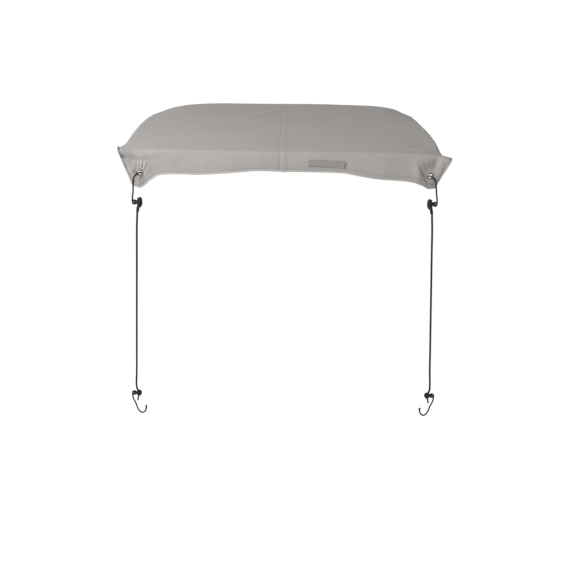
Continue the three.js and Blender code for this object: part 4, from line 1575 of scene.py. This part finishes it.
# %% [markdown]
# The centre row lies on the finished band, so it is read off the cloth itself. All points of the outer face
# can be seen from a place well below the top, each at an angle of its own. Of two layers seen at one angle,
# the farther one is the outer face.

# %% Centre stitches
EYE_DEPTH = 200  # from the top down to the place that the cloth is seen from
ON_LINE = 0.05  # how near to the line's X a point is to count


def line_on(obj, x):
    """The finished cloth's points at one X on its outer face, from one hem over the top to the other."""
    found = []
    for vertex in obj.data.vertices:
        if abs(vertex.co.x / MM - x) < ON_LINE:
            seen = math.atan2(vertex.co.z / MM + EYE_DEPTH, vertex.co.y / MM)
            away = math.hypot(vertex.co.z / MM + EYE_DEPTH, vertex.co.y / MM)
            found.append((round(seen, 3), away, vertex.co.copy() / MM, vertex.normal.copy()))
    outermost = {}
    for seen, away, place, direction in found:
        if seen not in outermost or away > outermost[seen][0]:
            outermost[seen] = (away, place, direction)
    ordered = [outermost[seen] for seen in sorted(outermost)]
    facing = [item for item in ordered if item[2].dot(item[1] - Vector((x, 0, -EYE_DEPTH))) > 0]
    return np.array([item[1] for item in facing]), np.array([item[2] for item in facing]), False


band_line = line_on(halves["right"], BAND_LINE)
print("seam line:", len(band_line[0]), "points")
centre_stitches = stitch_row("centre_stitches", [band_line], seed=7)

# %% [markdown]
# ## Label
# A small woven patch is sewn to the front skirt. It is bare. Its ends are turned under, so it is a little
# thicker there, the sewn border sinks in, and its right end stands off the cloth and casts a thin shadow.

# %% Label patch
LABEL_ENDS = ((0.574, 0.2, 0.62), (0.69, 0.3, 0.72))  # share along the skirt, top and bottom shares down it
LABEL_THICKNESS = 0.9
LABEL_STEPS = (120, 30)
LABEL_BORDER = 1.9
LABEL_LENGTH = 90.0
LABEL_HEIGHT = 19.0
LABEL_REST = 0.45  # of its back above the cloth
BORDER_SINK, BORDER_WIDTH = 0.35, 0.55
TURNED_END, TURNED_WIDTH = 0.25, 6  # the end's second layer
LABEL_BULGE = 0.3
LIFTED_END, LIFTED_SHARE = 1.1, 0.1


def label_point(across, down, out):
    """A point of the label: shares across and down it, and how far out of the cloth."""
    (at0, top0, bottom0), (at1, top1, bottom1) = LABEL_ENDS
    at = at0 + (at1 - at0) * across
    top, bottom = top0 + (top1 - top0) * across, bottom0 + (bottom1 - bottom0) * across
    point = skirt_points("front", np.atleast_1d(at), np.atleast_1d(top + (bottom - top) * down))[0, 0]
    return point + np.array([0, -(CLOTH + out), 0])


def label_height(across, down):
    """How far the label's face stands off the cloth: soft edges, a sunk border, thick ends, a lifted end."""
    from_end = min(across, 1 - across) * LABEL_LENGTH
    from_side = min(down, 1 - down) * LABEL_HEIGHT
    inset = min(from_end, from_side)
    height = LABEL_REST + LABEL_THICKNESS * min(1, inset / 0.5) ** 0.5
    height -= BORDER_SINK * math.exp(-(((inset - LABEL_BORDER) / BORDER_WIDTH) ** 2))
    height += TURNED_END * math.exp(-((from_end / TURNED_WIDTH) ** 4))
    height += LABEL_BULGE * math.sin(math.pi * down) * math.sin(math.pi * across) ** 0.5
    return height + LIFTED_END * max(0, (across - 1 + LIFTED_SHARE) / LIFTED_SHARE) ** 2


# %% Label as a closed plate
def label_parts():
    """The label's face and back as one closed plate, with a UV map in metres."""
    wide, high = LABEL_STEPS
    points, uv_of = [], []
    for layer in (0, 1):
        for i in range(wide + 1):
            for j in range(high + 1):
                across, down = i / wide, j / high
                face = label_height(across, down)
                points.append(label_point(across, down, face - layer * 0.6 * LABEL_THICKNESS))
                uv_of.append((across * LABEL_LENGTH * MM, -down * LABEL_HEIGHT * MM))
    row, behind = high + 1, (wide + 1) * (high + 1)
    faces = []
    for i in range(wide):
        for j in range(high):
            a = i * row + j
            faces.append((a, a + 1, a + row + 1, a + row))
            faces.append((a + behind, a + row + behind, a + row + 1 + behind, a + 1 + behind))
    for i in range(wide):
        top, bottom = i * row, i * row + high
        faces.append((top, top + row, top + row + behind, top + behind))
        faces.append((bottom, bottom + behind, bottom + row + behind, bottom + row))
    for j in range(high):
        far = wide * row + j
        faces.append((j, j + behind, j + 1 + behind, j + 1))
        faces.append((far, far + 1, far + 1 + behind, far + behind))
    return points, faces, [uv_of[index] for face in faces for index in face]


label_points, label_faces, label_uv = label_parts()
label = new_object("label_patch", label_points, label_faces)
write_uv(label, label_uv)
print("label:", LABEL_LENGTH, "by", LABEL_HEIGHT, "mm,", len(label_points), "points")

# %% [markdown]
# A woven label is a ribbed ribbon, finer and a little darker than the cover. Its ribs are the threads of the
# cloth's weave again, one way only and farther apart, with the finer weave between them. The ribs also
# change the roughness, so that they catch the light as a ribbon does.

# %% Label cloth
RIB_PITCH, RIB_DEPTH = 0.0011, 0.00006
LABEL_THREAD_PITCH = 0.0006
LABEL_DARK, LABEL_LIGHT = srgb(124, 120, 117), srgb(140, 136, 133)
LABEL_SHARP = 50
label_cloth, tree, shader = new_material("woven label", Specular_IOR_Level=0.35, Sheen_Weight=0.1)
uv = uv_place(tree)
ribs = threads_of(tree, uv, "Y", RIB_PITCH)
tint_between(tree, shader, noise_of(tree, uv, 0.004, 3.0), LABEL_DARK, LABEL_LIGHT)
rough_between(tree, shader, ribs, 0.5, 0.7)
relief(tree, shader, [(ribs, RIB_DEPTH), (weave_of(tree, uv, LABEL_THREAD_PITCH), THREAD_DEPTH)])
finish_piece(label, label_cloth, ("label",), sharp=LABEL_SHARP)

# %% [markdown]
# The label is sewn on by one row all round, in the sunk border. The same tree makes it, on a closed line
# and with smaller stitches, as a label is sewn with finer thread.


# %% Label stitches
LONG_STEPS, SHORT_STEPS = 40, 10  # points along the border's long and short sides


def label_border():
    """The closed line of stitches just inside the label's edge."""
    end, side = LABEL_BORDER / LABEL_LENGTH, LABEL_BORDER / LABEL_HEIGHT
    corners = [(end, side), (1 - end, side), (1 - end, 1 - side), (end, 1 - side)]
    line = []
    for (a0, d0), (a1, d1) in zip(corners, corners[1:] + corners[:1]):
        steps = LONG_STEPS if d0 == d1 else SHORT_STEPS
        for t in np.arange(steps) / steps:
            across, down = a0 + (a1 - a0) * t, d0 + (d1 - d0) * t
            line.append(label_point(across, down, label_height(across, down) + STITCH_RISE))
    return np.array(line), np.tile([0.0, -1.0, 0.1], (len(line), 1)), True


label_stitches = stitch_row("label_stitches", [label_border()], pitch=3.0, length=2.3, width=0.6, seed=9)

# %% [markdown]
# ## Eyelets
# An eyelet is two pressed rings that grip the cloth between them: a domed flange with a rolled lip in front
# and a flat washer behind. Its section is spun round the eyelet's own axis. Spin in BMesh could do it, and
# here a loop over angles does, because the ring is then closed and turned to the cloth in one step.

# %% Eyelet section
# The section as radius and height from the middle of the cloth, counter-clockwise and closed.
EYELET_SECTION = [
    (5.0, -0.9),
    (5.08, -1.25),
    (5.4, -1.5),
    (6.1, -1.6),
    (7.6, -1.25),
    (8.1, -1.0),
    (8.2, -0.8),
    (8.05, -0.62),
    (7.4, -0.45),
    (5.9, -0.4),
    (5.75, 0.2),
    (5.9, 0.82),
    (7.6, 0.84),
    (8.2, 0.86),
    (EYELET_RADIUS, 1.02),
    (8.2, 1.2),
    (7.7, 1.42),
    (7.0, 1.62),
    (6.3, 1.7),
    (5.7, 1.62),
    (5.25, 1.38),
    (5.04, 1.0),
    (5.0, 0.5),
]
print("eyelet:", 2 * max(radius for radius, _ in EYELET_SECTION), "mm across")

# %% Eyelet rings
EYELET_STEPS = 56


def eyelet_object(name, middle, normal):
    """One eyelet as a closed ring, with the way round it and across it as its UV map."""
    across = np.cross(normal, [0, 0, 1.0])
    across /= np.linalg.norm(across)
    up = np.cross(across, normal)
    count = len(EYELET_SECTION)
    points, faces, uv = [], [], []
    for step in range(EYELET_STEPS):
        angle = 2 * math.pi * step / EYELET_STEPS
        spoke = across * math.cos(angle) + up * math.sin(angle)
        points += [middle + spoke * radius + normal * height for radius, height in EYELET_SECTION]
        for k in range(count):
            a, b = step * count + k, step * count + (k + 1) % count
            c, d = (b + count) % (EYELET_STEPS * count), (a + count) % (EYELET_STEPS * count)
            faces.append((a, b, c, d))
            left, right = step / EYELET_STEPS, (step + 1) / EYELET_STEPS
            near, far = k / count, (k + 1) / count
            uv += [(left, near), (left, far), (right, far), (right, near)]
    made = new_object(name, points, faces)
    write_uv(made, uv)
    mesh = bmesh.new()
    mesh.from_mesh(made.data)
    bmesh.ops.recalc_face_normals(mesh, faces=mesh.faces[:])
    mesh.to_mesh(made.data)
    mesh.free()
    return made


# %% [markdown]
# The rings are nickelled steel that was polished while it turned, so the fine marks run round them. The UV
# map knows the way round and the way across, and a noise that is drawn out along the first gives those
# marks. They change the roughness and a very low bump. A cloudy tint makes the metal look handled.

# %% Eyelet metal
METAL_DARK, METAL_LIGHT = srgb(112, 111, 109), srgb(148, 147, 145)
MARKS_ROUND, MARKS_ACROSS = 6.0, 60.0
EYELET_SHARP = 60
eyelet_metal, tree, shader = new_material("nickelled steel", Metallic=1.0)
place, uv = object_place(tree), uv_place(tree)
marks = noise_of(tree, stretched(tree, uv, MARKS_ROUND, MARKS_ACROSS), 1.0, 3.0)
tint_between(tree, shader, noise_of(tree, place, 0.003, 3.0), METAL_DARK, METAL_LIGHT)
rough_between(tree, shader, marks, 0.24, 0.45)
relief(tree, shader, [(marks, 0.00003)])
for name, (middle, normal) in eyelet_places.items():
    eyelet = eyelet_object(f"eyelet_{name}", middle, normal)
    finish_piece(eyelet, eyelet_metal, (f"{name}_eyelet",), sharp=EYELET_SHARP)

# %% [markdown]
# ## Hooks
# Each hook is one steel wire dipped in black vinyl. It is bent through given points, ends in a thick, rounded
# tip where the coating has gathered, and closes into an eye for the cord. So each is one bar whose radius
# grows towards its tip.

# %% Hooks
WIRE_RADIUS = 1.95
TIP_RADIUS = 2.6
TIP_LENGTH = 9.0
TIP_POWER = 0.6  # below 1, the coating stays thick nearly to the end of that length
HOOK_SIDES = 20
EYE_POINTS = 13
# From the tip behind the cloth, through the eyelet and down, as inward, back and up of the eyelet's middle.
UPPER_WIRE = [
    (4, 15, -15),
    (3.5, 13, -6),
    (0.5, 6, -0.5),
    (-3, -4, -1),
    (-8, -9, -4),
    (-13, -10, -10),
    (-14.5, -9.5, -19),
]
UPPER_SHANK = [(-2.5, 0, 24), (-4.2, 0, 12)]
LOWER_WIRE = [(-3.4, -14), (3.6, -30), (7, -41), (12, -50), (19, -54.5), (26, -51), (29, -43.5), (29.5, -36)]
EYE_START, EYE_END = 175, 505  # degrees round the eye, from its inward side


def eye_points(above):
    """The closed eye as points inward, back and up of its middle. The wire comes from above or below."""
    turns = np.radians(np.linspace(EYE_START, EYE_END, EYE_POINTS))
    upwards = 1 if above else -1
    return [(RING_RADIUS * math.cos(a), 0, RING_RADIUS * math.sin(a) * upwards) for a in turns]


def hook_parts(points, step=1.0):
    """The wire along its points, from its tip to the end of its eye."""
    line = smooth_line(points, step)
    along = np.arange(len(line)) * step
    swell = np.clip(1 - along / TIP_LENGTH, 0, 1)
    radii = WIRE_RADIUS + (TIP_RADIUS - WIRE_RADIUS) * swell**TIP_POWER
    return [bar_parts(line, radii, HOOK_SIDES)]


# %% The two kinds of hook
def eye_of(tie, end):
    """The middle of the eye of one hook, beside its knot."""
    return from_base(tie, tie[end], [(-RING_SIDE, 0, 0)])[0]


def upper_hook(tie):
    """The hook that goes through the eyelet, as the parts of a bar."""
    eye = eye_of(tie, "upper")
    wire = from_base(tie, eyelet_places[tie["eyelet"]][0], UPPER_WIRE)
    return hook_parts([*wire, *from_base(tie, eye, UPPER_SHANK), *from_base(tie, eye, eye_points(True))])


def lower_hook(tie):
    """The open hook at the foot of a tie-down, as the parts of a bar."""
    eye = eye_of(tie, "lower")
    wire = from_base(tie, eye, [(inward, 0, up) for inward, up in LOWER_WIRE])
    return hook_parts([*wire[::-1], *from_base(tie, eye, eye_points(False))])


# %% [markdown]
# Dipping leaves a soft black skin that is smooth but never quite even. A low bump and a roughness that
# drifts between satin and half matt show that, and the colour stays just above black, so that the light
# still shapes the wire.

# %% Dipped vinyl
VINYL_DARK, VINYL_LIGHT = srgb(8, 8, 9), srgb(17, 17, 19)
hook_coating, tree, shader = new_material("dipped vinyl", Specular_IOR_Level=0.22)
place = object_place(tree)
tint_between(tree, shader, noise_of(tree, place, 0.006, 3.0), VINYL_DARK, VINYL_LIGHT)
rough_between(tree, shader, noise_of(tree, place, 0.004, 2.0), 0.38, 0.55)
relief(tree, shader, [(noise_of(tree, place, 0.0018, 2.0), 0.00008)])
for tie in ties:
    for end, parts in (("upper", upper_hook(tie)), ("lower", lower_hook(tie))):
        hook = bar_object(f"hook_{tie['name']}_{end}", parts)
        node = f"{tie['name']}_{end}_hook"
        finish_piece(hook, hook_coating, (node,))

# %% [markdown]
# ## Braided sleeve
# The relief of the braid is in the mesh, so the material only adds what the strands themselves show: the
# fine grain of their filaments, drawn out a little along the cord, in two blacks and a low bump.

# %% Braided elastic
SLEEVE_DARK, SLEEVE_LIGHT = srgb(5, 5, 6), srgb(16, 16, 18)
FILAMENTS_ROUND, FILAMENTS_A_METRE = 28.0, 1200.0
sleeve_finish = {"Specular_IOR_Level": 0.3, "Sheen_Weight": 0.2, "Roughness": 0.8}
cord_sleeve, tree, shader = new_material("braided sleeve", **sleeve_finish)
along_strands = stretched(tree, uv_place(tree), FILAMENTS_ROUND, FILAMENTS_A_METRE)
filaments = noise_of(tree, along_strands, 1.0, 1.0)
tint_between(tree, shader, filaments, SLEEVE_DARK, SLEEVE_LIGHT)
relief(tree, shader, [(filaments, 0.00012)])
for tie in ties:
    name = tie["name"]
    finish_piece(cord_pieces[name], cord_sleeve, (f"{name}_cord",))
    for end in ("upper", "lower"):
        finish_piece(knots[name, end], cord_sleeve)

# %% [markdown]
# ## Cord lines
# The line that each cord's tube follows is read again in metres.

# %% Cord lines in metres
for tie in ties:
    name = tie["name"]
    line = cord_lines[name] * MM

# %% [markdown]
# ## Floor and light
# The photograph is a catalogue picture on white. A wide white floor, lit a little from below as a light
# table is, stands for that, a little below the lower hooks. It is so wide that the camera never sees its
# end, and it is a stage, which belongs to the picture and not to the part.

# %% Floor
FLOOR_Z = -0.811
FLOOR_HALF = 40.0
FLOOR_GLOW = 0.86
FLOOR_DARK, FLOOR_LIGHT = (0.3, 0.3, 0.3, 1.0), (0.32, 0.32, 0.32, 1.0)
floor_corners = np.array([(-1, -1, 0), (1, -1, 0), (1, 1, 0), (-1, 1, 0)]) * FLOOR_HALF / MM
floor = new_object("floor", floor_corners + (0, 0, FLOOR_Z / MM), [(0, 1, 2, 3)])
floor_glow = {"Emission_Strength": FLOOR_GLOW, "Emission_Color": (1, 1, 1, 1)}
floor_finish, tree, shader = new_material("white floor", Roughness=0.9, Specular_IOR_Level=0.1, **floor_glow)
tint_between(tree, shader, noise_of(tree, object_place(tree), 0.5, 3.0), FLOOR_DARK, FLOOR_LIGHT)
floor.data.materials.append(floor_finish)
print("floor:", FLOOR_Z, "m")

# %% [markdown]
# A soft lamp stands near by at the front left, so the light falls off to the right as in the photograph.
# Because it is close, its size and its distance set how fast the cloth darkens from left to right. An even
# sky fills the shade. Both were found by setting the cloth's tones in the render beside those of the photo.

# %% Light
SKY_STRENGTH = 0.46
LAMP_POWER = 58
LAMP_SIZE = 0.8
LAMP_PLACE = Vector((-1.6, -1.2, 1.05))
LAMP_TARGET = Vector((0, -0.2, 0))

world = bpy.data.worlds.new("sky")
bpy.context.scene.world = world
world.use_nodes = True
world.node_tree.nodes["Background"].inputs["Strength"].default_value = SKY_STRENGTH
world.node_tree.nodes["Background"].inputs["Color"].default_value = (1.0, 1.0, 1.0, 1.0)
lamp_data = bpy.data.lights.new("lamp", "AREA")
lamp_data.energy = LAMP_POWER
lamp_data.size = LAMP_SIZE
lamp = bpy.data.objects.new("lamp", lamp_data)
lamp.location = LAMP_PLACE
lamp.rotation_euler = (LAMP_PLACE - LAMP_TARGET).to_track_quat("Z", "Y").to_euler()
lamp.visible_camera = False
bpy.context.scene.collection.objects.link(lamp)
bpy.context.scene.view_settings.view_transform = "Standard"
print("lamp:", round((LAMP_PLACE - LAMP_TARGET).length, 2), "m away")
